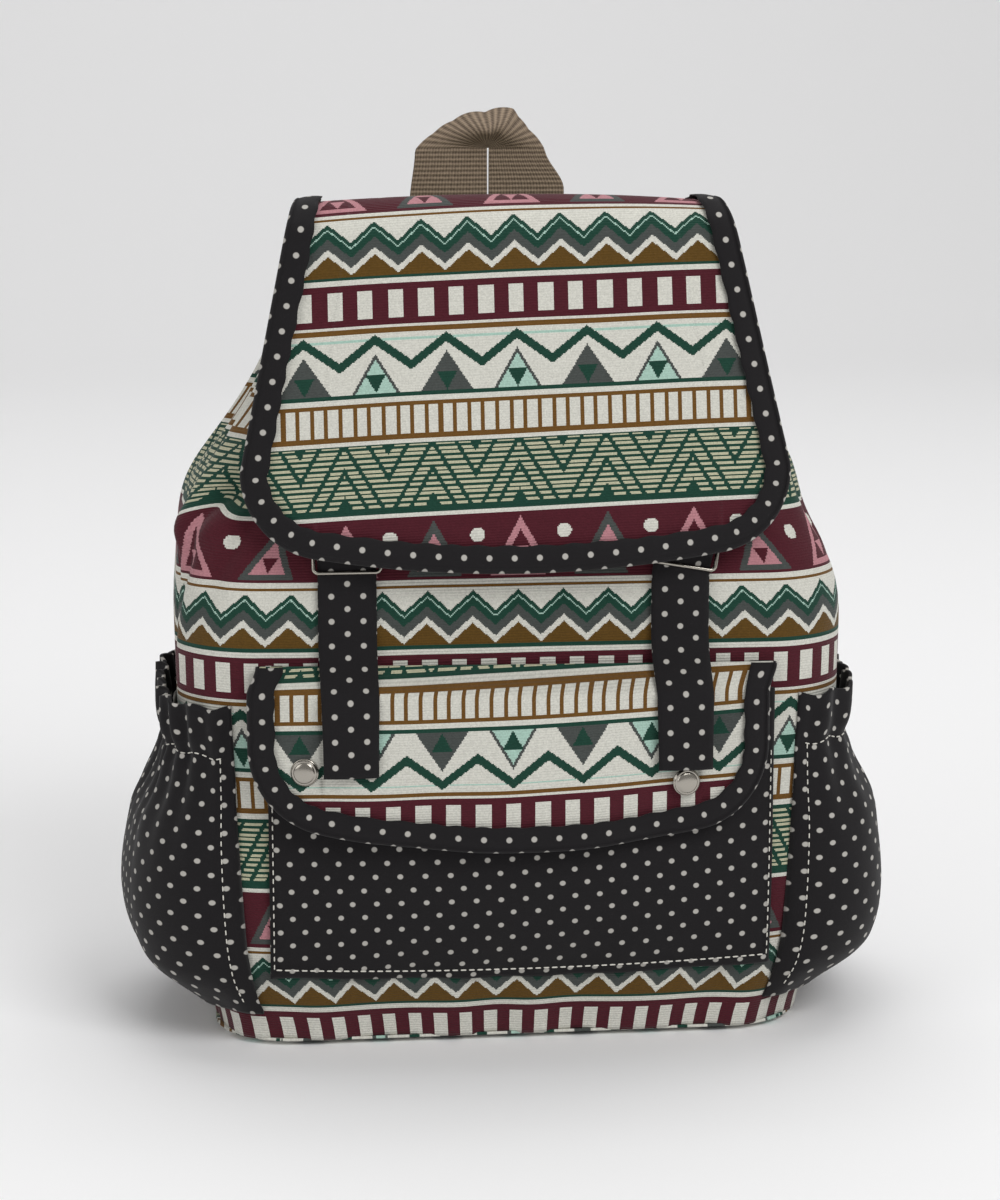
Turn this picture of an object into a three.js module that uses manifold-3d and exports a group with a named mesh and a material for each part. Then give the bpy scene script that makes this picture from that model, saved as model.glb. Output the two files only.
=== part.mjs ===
// A small drawstring backpack with a top flap, a front pocket and two side pockets.
// Millimetres, +Z up. The front faces -Y, and the origin is the middle of the base's underside.
import * as THREE from 'three';
import { mergeVertices } from 'three/addons/utils/BufferGeometryUtils.js';
import Module from 'manifold-3d';

const wasm = await Module();
wasm.setup();

// Fits
const GAP = 0.3;             // between cloth layers that lie on each other
const CORNER_RADIUS = 34;    // upright edges of the body, seen from above
const SHELL = 2.2;           // body cloth with its lining
const CLOTH = 2;             // flaps and pockets, two layers of cloth
const BINDING = 0.7;         // cloth of the edge binding
const BINDING_WIDTH = 9.4;
const BINDING_PLAY = 0.6;    // between the binding and the edge inside it

// Body: how much narrower than its widest it is, and how far its front and back stand from the
// middle. The rise is a share of the way from the widest part to the mouth.
const BODY_WIDTH = 282;
const BODY_WIDEST_Z = 185;
const MOUTH_Z = 322;
const BODY_TABLE = [
  { z: 0, narrower: 36, front: 58, back: 56 },
  { z: 14, narrower: 18, front: 67, back: 62 },
  { z: 80, narrower: 8, front: 70, back: 64 },
  { rise: 0, narrower: 0, front: 70, back: 62 },
  { rise: 0.365, narrower: 28, front: 65, back: 57 },
  { rise: 0.679, narrower: 82, front: 53, back: 50 },
  { rise: 1, narrower: 112, front: 41, back: 42 },
];
const BODY_ROWS = 10;
const LATHE_SIDES = 16;
const HEM_HEIGHT = 13;
const HEM_THICKNESS = 3.4;
const EYELET_X = 16;
const EYELET_HOLE = 5;
const EYELET_BARREL = 7;
const EYELET_RIM = 9;
const EYELET_FLANGE = 0.8;

// Top flap
const FLAP_SEAM_DROP = 24;   // below the mouth
const FLAP_HEADROOM = 15.7;  // over the hem of the mouth
const FLAP_FOLD_RADIUS = 30;
const FLAP_BACK_RADIUS = 24;
const FLAP_OVERHANG = 8;     // of the front fold beyond the mouth
const FLAP_HEM_Z = 207;
const FLAP_STANDOFF = 6;     // between the straps and the flap at its hem
const FLAP_TOP_MARGIN = 1;   // beyond each end of the mouth
const FLAP_SIDE_MARGIN = 30; // inside each side of the body
const FLAP_CORNER_RADIUS = 34;
const HEM_TILT = 80;         // degrees of the corner before the shallow bow of the hem

// Front pocket, which fills the flat of the front, and its flap
const POCKET_BOTTOM_Z = 33;
const POCKET_TOP_Z = 153;
const POCKET_BULGE = 17;
const POCKET_TOP_EASE = 0.35;    // share of the bulge that the top edge loses
const POCKET_FLAP_TOP_Z = 166;
const POCKET_FLAP_HEM_Z = 93;
const POCKET_FLAP_MARGIN = 1;    // inside each side of the pocket
const POCKET_FLAP_RADIUS = 34;

// Snap fasteners: one in the corner of the pocket flap, one below a strap
const LEFT_SNAP = { angle: 28, clear: 1.6 };
const RIGHT_SNAP = { inward: 3.5, clear: 0.2 };
const SNAP_CAP = 11.6;
const SNAP_DOME = 2.6;
const SNAP_EDGE = 0.8;           // upright edge of the cap
const SNAP_SHANK = 4;
const SNAP_PLAY = 0.3;
const SNAP_PLATE = 9.2;          // socket and stud flange
const SNAP_PLATE_EDGE = 0.6;
const SNAP_SOCKET = 2.4;         // height of the socket
const SNAP_CUP = 2.6;            // mouth of the socket
const SNAP_CUP_DEPTH = 1.6;
const SNAP_POST = 2;
const SNAP_CLENCH = 7.2;
const SNAP_SLACK = 0.5;          // play of the cloth under the cap, the socket and the stud

// Side pockets
const SIDE_POCKET_BOTTOM_Z = 5;
const SIDE_POCKET_TOP_Z = 146;
const SIDE_POCKET_SWELL = [
  [SIDE_POCKET_BOTTOM_Z, 0], [22, 21], [55, 31], [95, 22], [124, 13], [SIDE_POCKET_TOP_Z, 14],
];
const SIDE_POCKET_FULLNESS = 0.6;
const SIDE_POCKET_START = 20;    // degrees of the front corner left bare
const SIDE_POCKET_END = 12;      // degrees of the back corner left bare
const ELASTIC_HEIGHT = 11;
const ELASTIC_Z = 122;
const ELASTIC = 1.4;
const ELASTIC_INSET = 2;         // columns of the pocket left free at each end

// Flap straps, wire rings and the tabs that hold the rings
const STRAP_INSET = 29;          // of its outer edge from the flap's side
const STRAP_WIDTH = 24;
const STRAP = 1.6;
const STRAP_SEWN_Z = 262;
const STRAP_END_Z = 124;
const STRAP_EASE = 10;           // height over which it bends to and from the ring
const BAR_CLEAR = 3;             // of the strap's bends above and below a bar
const WIRE = 1.7;
const RING_HEIGHT = 14;          // between the centres of its bars
const RING_LOW_Z = 205.5;
const RING_PLAY = 0.8;           // on each side of the strap
const RING_CORNER = 2.2;
const RING_SLANT = { left: 0, right: 10 };   // degrees that the ring hangs askew
const TAB_INSET = 2;             // of the tab's edges from the strap's
const TAB = 1;
const TAB_LENGTH = 22;
const TAB_CLEAR = 0.7;           // off the body, so that a slanted tab lies clear of it

// Grab handle
const HANDLE_WIDTH = 32;
const HANDLE = 2.2;
const HANDLE_RISE = 33;          // over the flap
const HANDLE_SEAM_DROP = 8;      // below the mouth
const HANDLE_PINCH = 1;          // from the fold's middle to the strip's inner edge
const HANDLE_LEAN = 22;          // degrees that the fold leans back

// Shoulder straps, their adjusters and their webbing
const YOKE_MARGIN = 22;          // inside each side of the flap
const YOKE_HEIGHT = 30;
const PAD_WIDTH = 56;
const PAD = 9;
const PAD_BOW = 112;             // how far the middle of a strap stands behind the bag's middle
const PAD_MIDDLE_Z = 215;
const PAD_BEND = [[0, 0.2, -2], [1, 1.2, -20], [12, 22, -46]];   // from the yoke's top, as it hangs
const PAD_STRAIGHT = 30;         // before the adjuster
const PAD_STEPS = 14;
const PAD_TAPER = 0.45;          // share of the width lost at the lower end
const PAD_TAPER_FROM = 0.65;
const PAD_SQUARENESS = 0.5;
const ADJUSTER_AT = new THREE.Vector3(90, 102, 112);
const ANCHOR = { x: 104, z: 36, standoff: 7.1 };   // off the body's back
const WEBBING_WIDTH = 25;
const WEBBING = 1.3;
const WEBBING_TAIL = 46;
const LOCK_BAR = 4;
const LOCK_THICKNESS = 3.5;
const LOCK_LOOP_SLOT = 9.5;
const LOCK_GRIP_SLOT = 6;
const LOCK_RAIL = 3.6;
const LOCK_CORNER = 2.5;
const LOCK_TAB = 7;              // the lower end, lifted with a thumb
const LOCK_TAB_RISE = 3.2;
const SLOT_CORNER = 0.6;
const LOCK_PLAY = 0.7;
const LOOP_PLAY = 0.7;
const LOOP_LENGTH = 15;
const HUMP = 3.4;                // slack of the webbing over the adjuster's middle bar
const BEND = 2;                  // chamfer of the webbing's bends
const LOOP_BEND = 1.4;
const ANCHOR_HEIGHT = 26;
const ANCHOR_BASE = 48;
const ANCHOR_MARGIN = 2;         // beyond each edge of the webbing

const COLOURS = {
  jacquard: '#7c6a60',
  dots: '#211f21',
  lining: '#2a2829',
  webbing: '#8d7b68',
  nickel: '#c9ccd0',
  plastic: '#1a1a1b',
};

// Meshes

const bag = new THREE.Group();

function signedVolume(position, index) {
  const [a, b, c] = [new THREE.Vector3(), new THREE.Vector3(), new THREE.Vector3()];
  let volume = 0;
  for (let i = 0; i < index.length; i += 3) {
    a.fromBufferAttribute(position, index[i]);
    b.fromBufferAttribute(position, index[i + 1]);
    c.fromBufferAttribute(position, index[i + 2]);
    volume += a.dot(b.cross(c)) / 6;
  }
  return volume;
}

// A closed geometry from points and triangles, turned so that its faces point out
function closed(points, triangles) {
  const geometry = new THREE.BufferGeometry().setFromPoints(points);
  const outward = signedVolume(geometry.attributes.position, triangles) > 0;
  geometry.setIndex(outward ? triangles : triangles.slice().reverse());
  return geometry;
}

// A sheet with thickness: two grids of points, one for each face, closed along the edges.
// With ring set, the last column joins the first.
function sheet(outer, inner, ring = false) {
  const rows = outer.length;
  const cols = outer[0].length;
  const half = rows * cols;
  const triangles = [];
  const quad = (a, b, c, d) => triangles.push(a, b, c, a, c, d);
  const at = (i, j) => i * cols + (j % cols);
  const lastCol = ring ? cols : cols - 1;
  for (let i = 0; i < rows - 1; i++) {
    for (let j = 0; j < lastCol; j++) {
      quad(at(i, j), at(i, j + 1), at(i + 1, j + 1), at(i + 1, j));
      quad(half + at(i, j), half + at(i + 1, j), half + at(i + 1, j + 1), half + at(i, j + 1));
    }
  }
  for (let j = 0; j < lastCol; j++) {
    quad(at(0, j), half + at(0, j), half + at(0, j + 1), at(0, j + 1));
    quad(at(rows - 1, j), at(rows - 1, j + 1), half + at(rows - 1, j + 1), half + at(rows - 1, j));
  }
  for (let i = 0; i < rows - 1 && !ring; i++) {
    quad(at(i, 0), at(i + 1, 0), half + at(i + 1, 0), half + at(i, 0));
    quad(at(i, cols - 1), half + at(i, cols - 1), half + at(i + 1, cols - 1), at(i + 1, cols - 1));
  }
  return closed([...outer.flat(), ...inner.flat()], triangles);
}

// A bar swept through rings of points; the flat section gives the triangles of its two ends
function sweep(rings, section, loop = false) {
  const n = section.length;
  const triangles = [];
  const last = loop ? rings.length : rings.length - 1;
  for (let i = 0; i < last; i++) {
    const next = (i + 1) % rings.length;
    for (let j = 0; j < n; j++) {
      const k = (j + 1) % n;
      triangles.push(i * n + j, i * n + k, next * n + k, i * n + j, next * n + k, next * n + j);
    }
  }
  if (!loop) {
    const flat = section.map(([x, y]) => new THREE.Vector2(x, y));
    const end = (rings.length - 1) * n;
    for (const [a, b, c] of THREE.ShapeUtils.triangulateShape(flat, [])) {
      triangles.push(a, c, b, end + a, end + b, end + c);
    }
  }
  return closed(rings.flat(), triangles);
}

// A band along a path, with the direction of its width given at every point
function band(path, widths, section) {
  const rings = path.map((p, i) => {
    const tangent = path[Math.min(i + 1, path.length - 1)].clone().sub(path[Math.max(i - 1, 0)]);
    const across = widths[i].clone().normalize();
    const normal = tangent.cross(across).normalize();
    return section.map(([w, t]) => p.clone().addScaledVector(across, w).addScaledVector(normal, t));
  });
  return sweep(rings, section);
}

const flatSection = (width, thickness) => [[-1, -1], [1, -1], [1, 1], [-1, 1]]
  .map(([w, t]) => [w * width / 2, t * thickness / 2]);

// The outline of a strip that follows a path in a plane, for an extrusion across its width
function stripShape(path, thickness) {
  const side = (sign) => path.map((p, i) => {
    const before = path[Math.max(i - 1, 0)];
    const after = path[Math.min(i + 1, path.length - 1)];
    const d = after.clone().sub(before).normalize();
    const inside = i > 0 && i < path.length - 1;
    const turn = inside ? p.clone().sub(before).angle() - after.clone().sub(p).angle() : 0;
    const mitre = thickness / 2 / Math.max(0.6, Math.abs(Math.cos(turn / 2)));
    return new THREE.Vector2(p.x - d.y * sign * mitre, p.y + d.x * sign * mitre);
  });
  return new THREE.Shape([...side(1), ...side(-1).reverse()]);
}

function extrude(shape, depth) {
  const options = { depth, bevelEnabled: false, curveSegments: 6 };
  return new THREE.ExtrudeGeometry(shape, options).translate(0, 0, -depth / 2);
}

// A turned piece about the y axis
function lathe(profile) {
  const turned = new THREE.LatheGeometry(profile.map(([x, y]) => new THREE.Vector2(x, y)), LATHE_SIDES);
  const index = Array.from(turned.index.array);
  const outward = signedVolume(turned.attributes.position, index) > 0;
  turned.setIndex(outward ? index : index.reverse());
  return turned;
}

function toSolid(geometry) {
  const bare = geometry.clone();
  bare.deleteAttribute('normal');
  bare.deleteAttribute('uv');
  const merged = mergeVertices(bare);
  const vertProperties = merged.attributes.position.array;
  const triVerts = merged.index.array;
  return new wasm.Manifold(new wasm.Mesh({ numProp: 3, vertProperties, triVerts }));
}

function fromSolid(solid) {
  const mesh = solid.getMesh();
  const result = new THREE.BufferGeometry();
  result.setAttribute('position', new THREE.BufferAttribute(mesh.vertProperties, 3));
  result.setIndex(new THREE.BufferAttribute(mesh.triVerts, 1));
  return result;
}

const cut = (geometry, tools) => fromSolid(
  tools.reduce((solid, tool) => solid.subtract(toSolid(tool)), toSolid(geometry)));

function add(name, geometry, finish, parent = bag) {
  const metal = finish === 'nickel';
  const material = new THREE.MeshStandardMaterial({
    color: COLOURS[finish], roughness: metal ? 0.25 : 0.85, metalness: metal ? 1 : 0,
  });
  const mesh = new THREE.Mesh(geometry, material);
  mesh.name = name;
  parent.add(mesh);
  return mesh;
}

const steps = (count) => Array.from({ length: count + 1 }, (_, i) => i / count);
const lerp = THREE.MathUtils.lerp;
const rad = THREE.MathUtils.degToRad;

// The value of one column of a table at a height, on a smooth curve that never overshoots
function smooth(rows, key, value, z) {
  const last = rows.length - 2;
  let k = 0;
  while (k < last && z > key(rows[k + 1])) k++;
  const slope = (i) => (value(rows[i + 1]) - value(rows[i])) / (key(rows[i + 1]) - key(rows[i]));
  const tangent = (i) => {
    if (i === 0) return slope(0);
    if (i === rows.length - 1) return slope(last);
    const [a, b] = [slope(i - 1), slope(i)];
    return a * b > 0 ? (2 * a * b) / (a + b) : 0;
  };
  const h = key(rows[k + 1]) - key(rows[k]);
  const t = (z - key(rows[k])) / h;
  const [m0, m1] = [tangent(k) * h, tangent(k + 1) * h];
  const [p0, p1] = [value(rows[k]), value(rows[k + 1])];
  if (t > 1) return p1 + (m1 / h) * (z - key(rows[k + 1]));
  return p0 * (2 * t ** 3 - 3 * t ** 2 + 1) + m0 * (t ** 3 - 2 * t ** 2 + t)
    + p1 * (3 * t ** 2 - 2 * t ** 3) + m1 * (t ** 3 - t ** 2);
}

// Body

const heightOf = (row) => row.z ?? lerp(BODY_WIDEST_Z, MOUTH_Z, row.rise);

function sectionAt(z) {
  const read = (name) => smooth(BODY_TABLE, heightOf, (row) => row[name], z);
  const halfWidth = (BODY_WIDTH - read('narrower')) / 2;
  return { halfWidth, front: read('front'), back: read('back') };
}

const frontAt = (z) => sectionAt(z).front;
const backAt = (z) => sectionAt(z).back;

// Columns of the body's skin: each gives x and y for a section and an offset out of the skin
const frontColumn = (u) => (s, out) => [u * (s.halfWidth - CORNER_RADIUS), -(s.front + out)];
const backColumn = (u) => (s, out) => [u * (s.halfWidth - CORNER_RADIUS), s.back + out];
const sideColumn = (side, v) => (s, out) => [
  side * (s.halfWidth + out), lerp(CORNER_RADIUS - s.front + GAP / 2, s.back - CORNER_RADIUS - GAP / 2, v),
];
const cornerColumn = (side, face, degrees) => (s, out) => {
  const cx = s.halfWidth - CORNER_RADIUS;
  const cy = (face === 'front' ? s.front : s.back) - CORNER_RADIUS;
  const r = CORNER_RADIUS + out;
  const y = cy + r * Math.cos(rad(degrees));
  return [side * (cx + r * Math.sin(rad(degrees))), face === 'front' ? -y : y];
};

const skinRow = (columns, z, out) => columns.map((column) => {
  const [x, y] = column(sectionAt(z), out);
  return new THREE.Vector3(x, y, z);
});

function wallPanel(columns) {
  const bottom = SHELL + GAP;
  const heights = steps(BODY_ROWS).map((t) => lerp(bottom, MOUTH_Z, t));
  const grid = (out) => heights.map((z) => skinRow(columns, z, out));
  return sheet(grid(0), grid(-SHELL));
}

const SEAM_DEGREES = 90 - THREE.MathUtils.radToDeg(GAP / CORNER_RADIUS);
const corner = (side, face) => steps(4).map((t) => cornerColumn(side, face, lerp(0, SEAM_DEGREES, t)));
const facePanel = (face, column) => [
  ...corner(-1, face).reverse(),
  ...steps(4).slice(1, -1).map((t) => column(lerp(-1, 1, t))),
  ...corner(1, face),
];
const sidePanel = (side) => steps(3).map((t) => sideColumn(side, t));

function basePanel() {
  const s = sectionAt(0);
  const around = [
    ...facePanel('front', frontColumn), ...facePanel('back', backColumn).reverse(),
  ].map((column) => new THREE.Vector2(...column(s, 0)));
  return extrude(new THREE.Shape(around), SHELL).translate(0, 0, SHELL / 2);
}

add('base_panel', basePanel(), 'jacquard');
add('front_panel', wallPanel(facePanel('front', frontColumn)), 'jacquard');
add('left_side_panel', wallPanel(sidePanel(-1)), 'jacquard');
add('right_side_panel', wallPanel(sidePanel(1)), 'jacquard');
add('back_panel', wallPanel(facePanel('back', backColumn)), 'jacquard');

// The hem round the mouth is a folded channel, with two eyelets at the front
const hemLow = MOUTH_Z + GAP;
const hemMiddle = hemLow + HEM_HEIGHT / 2;
const mouth = sectionAt(MOUTH_Z);

function mouthHem() {
  const columns = [...facePanel('front', frontColumn), ...facePanel('back', backColumn).reverse()];
  const grid = (out) => [hemLow, hemMiddle, hemLow + HEM_HEIGHT].map((z) => columns.map((column) => {
    const [x, y] = column(mouth, out);
    return new THREE.Vector3(x, y, z);
  }));
  const holes = [-EYELET_X, EYELET_X].map((x) => {
    const r = EYELET_BARREL / 2 + GAP;
    const hole = new THREE.CylinderGeometry(r, r, 4 * HEM_THICKNESS, LATHE_SIDES);
    return hole.translate(x, -mouth.front, hemMiddle);
  });
  return cut(sheet(grid(0), grid(-HEM_THICKNESS), true), holes);
}

function eyelet() {
  const r = EYELET_HOLE / 2;
  const barrel = EYELET_BARREL / 2;
  const face = GAP + EYELET_FLANGE;
  const depth = HEM_THICKNESS + GAP + EYELET_FLANGE;
  const profile = [
    [r, face], [EYELET_RIM / 2, face], [EYELET_RIM / 2, GAP], [barrel, GAP],
    [barrel, GAP - depth], [r, GAP - depth], [r, face],
  ];
  return lathe(profile);
}

add('mouth_hem', mouthHem(), 'jacquard');
for (const [side, sign] of [['left', -1], ['right', 1]]) {
  const ring = add(`mouth_eyelet_${side}`, eyelet(), 'nickel');
  ring.rotation.x = Math.PI;
  ring.position.set(sign * EYELET_X, -mouth.front, hemMiddle);
}

// Flaps

// Half of a rounded hem: a corner arc, then a shallow bow to the middle, lowest at length
function hemCorner(halfWidth, radius, length) {
  const tilt = rad(HEM_TILT);
  const x = halfWidth - radius;
  const bow = x / Math.cos(tilt) + radius;
  return { tilt, bow, x, along: length - bow + (bow - radius) * Math.sin(tilt) };
}

// Its points, each as half width, distance along, inward x and inward along
function hemOutline(halfWidth, radius, length) {
  const { tilt, bow, x, along } = hemCorner(halfWidth, radius, length);
  const points = [];
  for (const t of steps(5)) {
    const [c, s] = [Math.cos(t * tilt), Math.sin(t * tilt)];
    points.push([x + radius * c, along + radius * s, -c, -s]);
  }
  for (const t of [0.3, 0.6, 0.85]) {
    const [c, s] = [Math.cos(lerp(tilt, Math.PI / 2, t)), Math.sin(lerp(tilt, Math.PI / 2, t))];
    points.push([bow * c, length - bow + bow * s, -c, -s]);
  }
  return points;
}

// A flap from the half outlines of its rows; place(x, along, out) bends the flat pattern into shape
function flapPanel(outline, columns, place) {
  const across = (half) => {
    const inner = half - BINDING_WIDTH;
    return [-half, ...steps(columns).map((t) => lerp(-inner, inner, t)), half];
  };
  const grid = (out) => outline.map(([half, along]) => across(half).map((x) => place(x, along, out)));
  return sheet(grid(CLOTH), grid(0));
}

// A folded strip that wraps the flap's two sides and its hem
function edgeBinding(outline, place) {
  const low = -BINDING_PLAY;
  const high = CLOTH + BINDING_PLAY;
  const section = [
    [BINDING_WIDTH, high + BINDING], [low - BINDING, high + BINDING], [low - BINDING, low - BINDING],
    [BINDING_WIDTH, low - BINDING], [BINDING_WIDTH, low], [low, low], [low, high], [BINDING_WIDTH, high],
  ];
  const middle = outline[outline.length - 1];
  const path = [
    ...outline.map(([x, s, nx, ns]) => [-x, s, -nx, ns]),
    [0, middle[1], 0, -1],
    ...outline.slice().reverse(),
  ];
  const rings = path.map(([x, s, nx, ns]) => section.map(([inward, out]) => (
    place(x + nx * inward, s + ns * inward, out))));
  return sweep(rings, section);
}

// Depths of the straps and rings, which the flap clears

// The ring's upper bar lies in the tab's loop on the body. The strap passes in front of that bar
// and behind the lower one.
const ringHighZ = RING_LOW_Z + RING_HEIGHT;
const tabRadius = WIRE / 2 + GAP + TAB;
const upperBarY = -(frontAt(ringHighZ) + TAB_CLEAR + tabRadius);
const strapFrontY = upperBarY - tabRadius - GAP;
const strapBehindY = -(Math.max(frontAt(RING_LOW_Z), frontAt(BODY_WIDEST_Z)) + GAP);
const lowerBarY = strapBehindY - STRAP - GAP - WIRE / 2;
const ringLean = Math.atan2(upperBarY - lowerBarY, RING_HEIGHT);

// Top flap: up the back, over two round folds, then straight down the front to its hem
const flapHalf = BODY_WIDTH / 2 - FLAP_SIDE_MARGIN;
const strapX = flapHalf - STRAP_INSET - STRAP_WIDTH / 2;
const flapSeamZ = MOUTH_Z - FLAP_SEAM_DROP;
const flapTopZ = hemLow + HEM_HEIGHT + FLAP_HEADROOM;
const flapBackY = backAt(flapSeamZ) + GAP;
const flapHemY = strapFrontY - STRAP - FLAP_STANDOFF;
const foldZ = flapTopZ - FLAP_FOLD_RADIUS;
const frontFoldY = FLAP_FOLD_RADIUS - mouth.front - FLAP_OVERHANG;
const backFoldZ = flapTopZ - FLAP_BACK_RADIUS;
const backFoldY = flapBackY - FLAP_BACK_RADIUS;

// The front runs from the front fold, at a tangent, to the hem
const toHem = new THREE.Vector2(frontFoldY - flapHemY, foldZ - FLAP_HEM_Z);
const flapLean = Math.atan2(toHem.x, toHem.y) - Math.asin(FLAP_FOLD_RADIUS / toHem.length());
const flapFall = Math.sqrt(toHem.lengthSq() - FLAP_FOLD_RADIUS ** 2);
const foldAngle = Math.PI / 2 - flapLean;
const flapRun = [
  backFoldZ - flapSeamZ, FLAP_BACK_RADIUS * Math.PI / 2,
  backFoldY - frontFoldY, FLAP_FOLD_RADIUS * foldAngle,
];
const flapEnds = flapRun.map((_, i) => flapRun.slice(0, i + 1).reduce((a, b) => a + b, 0));
const flapLength = flapEnds[3] + flapFall;

// A point of the flap: x across, along from the back seam, out from its inner face
function placeFlap(x, along, out) {
  const arc = (radius, centreY, centreZ, angle) => {
    const r = radius + out;
    return new THREE.Vector3(x, centreY + r * Math.cos(angle), centreZ + r * Math.sin(angle));
  };
  if (along <= flapEnds[0]) return new THREE.Vector3(x, flapBackY + out, flapSeamZ + along);
  if (along <= flapEnds[1]) {
    return arc(FLAP_BACK_RADIUS, backFoldY, backFoldZ, (along - flapEnds[0]) / FLAP_BACK_RADIUS);
  }
  if (along <= flapEnds[2]) return new THREE.Vector3(x, backFoldY - (along - flapEnds[1]), flapTopZ + out);
  const turned = Math.min((along - flapEnds[2]) / FLAP_FOLD_RADIUS, foldAngle);
  const point = arc(FLAP_FOLD_RADIUS, frontFoldY, foldZ, Math.PI / 2 + turned);
  const straight = Math.max(along - flapEnds[3], 0);
  return point.add(new THREE.Vector3(0, -Math.sin(flapLean) * straight, -Math.cos(flapLean) * straight));
}

function flapOutline() {
  const topHalf = mouth.halfWidth + FLAP_TOP_MARGIN;
  const hem = hemOutline(flapHalf, FLAP_CORNER_RADIUS, flapLength);
  const cornerStart = hem[0][1];
  const widen = (along) => Math.max(0, (along - flapEnds[2]) / (cornerStart - flapEnds[2]));
  const halfAt = (along) => lerp(topHalf, flapHalf, widen(along));
  const rows = [
    0, flapEnds[0], ...steps(5).slice(1).map((t) => lerp(flapEnds[0], flapEnds[1], t)),
    ...steps(5).map((t) => lerp(flapEnds[2], flapEnds[3], t)),
    ...steps(4).slice(1, -1).map((t) => lerp(flapEnds[3], cornerStart, t)),
  ];
  return [...rows.map((along) => [halfAt(along), along, -1, 0]), ...hem];
}

const flapShape = flapOutline();
add('flap_panel', flapPanel(flapShape, 2, placeFlap), 'jacquard');
add('flap_binding', edgeBinding(flapShape, placeFlap), 'dots');

const flapInnerY = (z) => flapHemY + Math.tan(flapLean) * (z - FLAP_HEM_Z);

// Front pocket, swelling out of the body's front
const pocketHalf = BODY_WIDTH / 2 - CORNER_RADIUS;
const pocketFlapHalf = pocketHalf - POCKET_FLAP_MARGIN;

const pocketSwell = (x, z) => {
  const u = Math.min(1, Math.abs(x) / pocketHalf);
  const v = THREE.MathUtils.clamp((z - POCKET_BOTTOM_Z) / (POCKET_TOP_Z - POCKET_BOTTOM_Z), 0, 1);
  return POCKET_BULGE * (1 - u * u) * (1 - (1 - v) ** 3) * (1 - POCKET_TOP_EASE * v * v);
};
const pocketInside = (x, z) => frontAt(z) + GAP + pocketSwell(x, z);
const pocketOutside = (x, z) => pocketInside(x, z) + CLOTH;

// How far in front of the middle the pocket flap's inner face stands
// The flap is lifted by the closed fastener between it and the pocket
const studHeight = SNAP_SLACK + SNAP_PLATE_EDGE;
const flapLift = studHeight + SNAP_PLAY + SNAP_SOCKET + SNAP_SLACK + GAP;
const overPocket = POCKET_TOP_Z + CLOTH;
const pocketFlapInside = (x, z) => {
  const hung = pocketOutside(x, Math.min(z, overPocket)) + flapLift;
  const t = THREE.MathUtils.clamp((z - overPocket) / (POCKET_FLAP_TOP_Z - overPocket), 0, 1);
  return lerp(hung, frontAt(POCKET_FLAP_TOP_Z) + GAP + BINDING_PLAY + BINDING, t);
};
const placePocketFlap = (x, along, out) => {
  const z = POCKET_FLAP_TOP_Z - along;
  return new THREE.Vector3(x, -(pocketFlapInside(x, z) + out), z);
};

const pocketFlapHem = [pocketFlapHalf, POCKET_FLAP_RADIUS, POCKET_FLAP_TOP_Z - POCKET_FLAP_HEM_Z];

function pocketFlapOutline() {
  const hem = hemOutline(...pocketFlapHem);
  const over = POCKET_FLAP_TOP_Z - overPocket;
  const rows = [0, over / 2, over, lerp(over, hem[0][1], 0.5)];
  return [...rows.map((along) => [pocketFlapHalf, along, -1, 0]), ...hem];
}

// The left snap sits inside the binding's corner, and the right one under the end of its strap
const leftCorner = hemCorner(...pocketFlapHem);
const leftReach = POCKET_FLAP_RADIUS - BINDING_WIDTH - SNAP_CAP / 2 - LEFT_SNAP.clear;
const snaps = {
  left: {
    x: -leftCorner.x - leftReach * Math.cos(rad(LEFT_SNAP.angle)),
    z: POCKET_FLAP_TOP_Z - leftCorner.along - leftReach * Math.sin(rad(LEFT_SNAP.angle)),
  },
  right: { x: strapX - RIGHT_SNAP.inward, z: STRAP_END_Z - SNAP_CAP / 2 - RIGHT_SNAP.clear },
};

// A fastener and the drill for it stand at right angles to the pocket
function snapFrame({ x, z }) {
  const d = 1;
  const slopeX = (pocketOutside(x + d, z) - pocketOutside(x - d, z)) / (2 * d);
  const slopeZ = (pocketOutside(x, z + d) - pocketOutside(x, z - d)) / (2 * d);
  const normal = new THREE.Vector3(-slopeX, -1, -slopeZ).normalize();
  const matrix = new THREE.Matrix4().makeRotationFromQuaternion(
    new THREE.Quaternion().setFromUnitVectors(new THREE.Vector3(0, 1, 0), normal));
  return matrix.setPosition(x, -pocketOutside(x, z), z);
}

const snapHoles = () => Object.values(snaps).map((snap) => {
  const r = SNAP_SHANK / 2 + SNAP_PLAY;
  const drill = new THREE.CylinderGeometry(r, r, 4 * (flapLift + CLOTH), LATHE_SIDES);
  return drill.applyMatrix4(snapFrame(snap));
});

function frontPocket() {
  const grid = (depth) => steps(7).map((t) => lerp(POCKET_BOTTOM_Z, POCKET_TOP_Z, t)).map((z) => (
    steps(12).map((u) => lerp(-pocketHalf, pocketHalf, u)).map((x) => (
      new THREE.Vector3(x, -depth(x, z), z)))));
  return cut(sheet(grid(pocketOutside), grid(pocketInside)), snapHoles());
}

// Heights along a snap, from the pocket's outer face
const capUnder = flapLift + CLOTH + GAP + SNAP_SLACK;
const socketTop = flapLift - GAP - SNAP_SLACK;
const socketLow = socketTop - SNAP_SOCKET;

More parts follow.
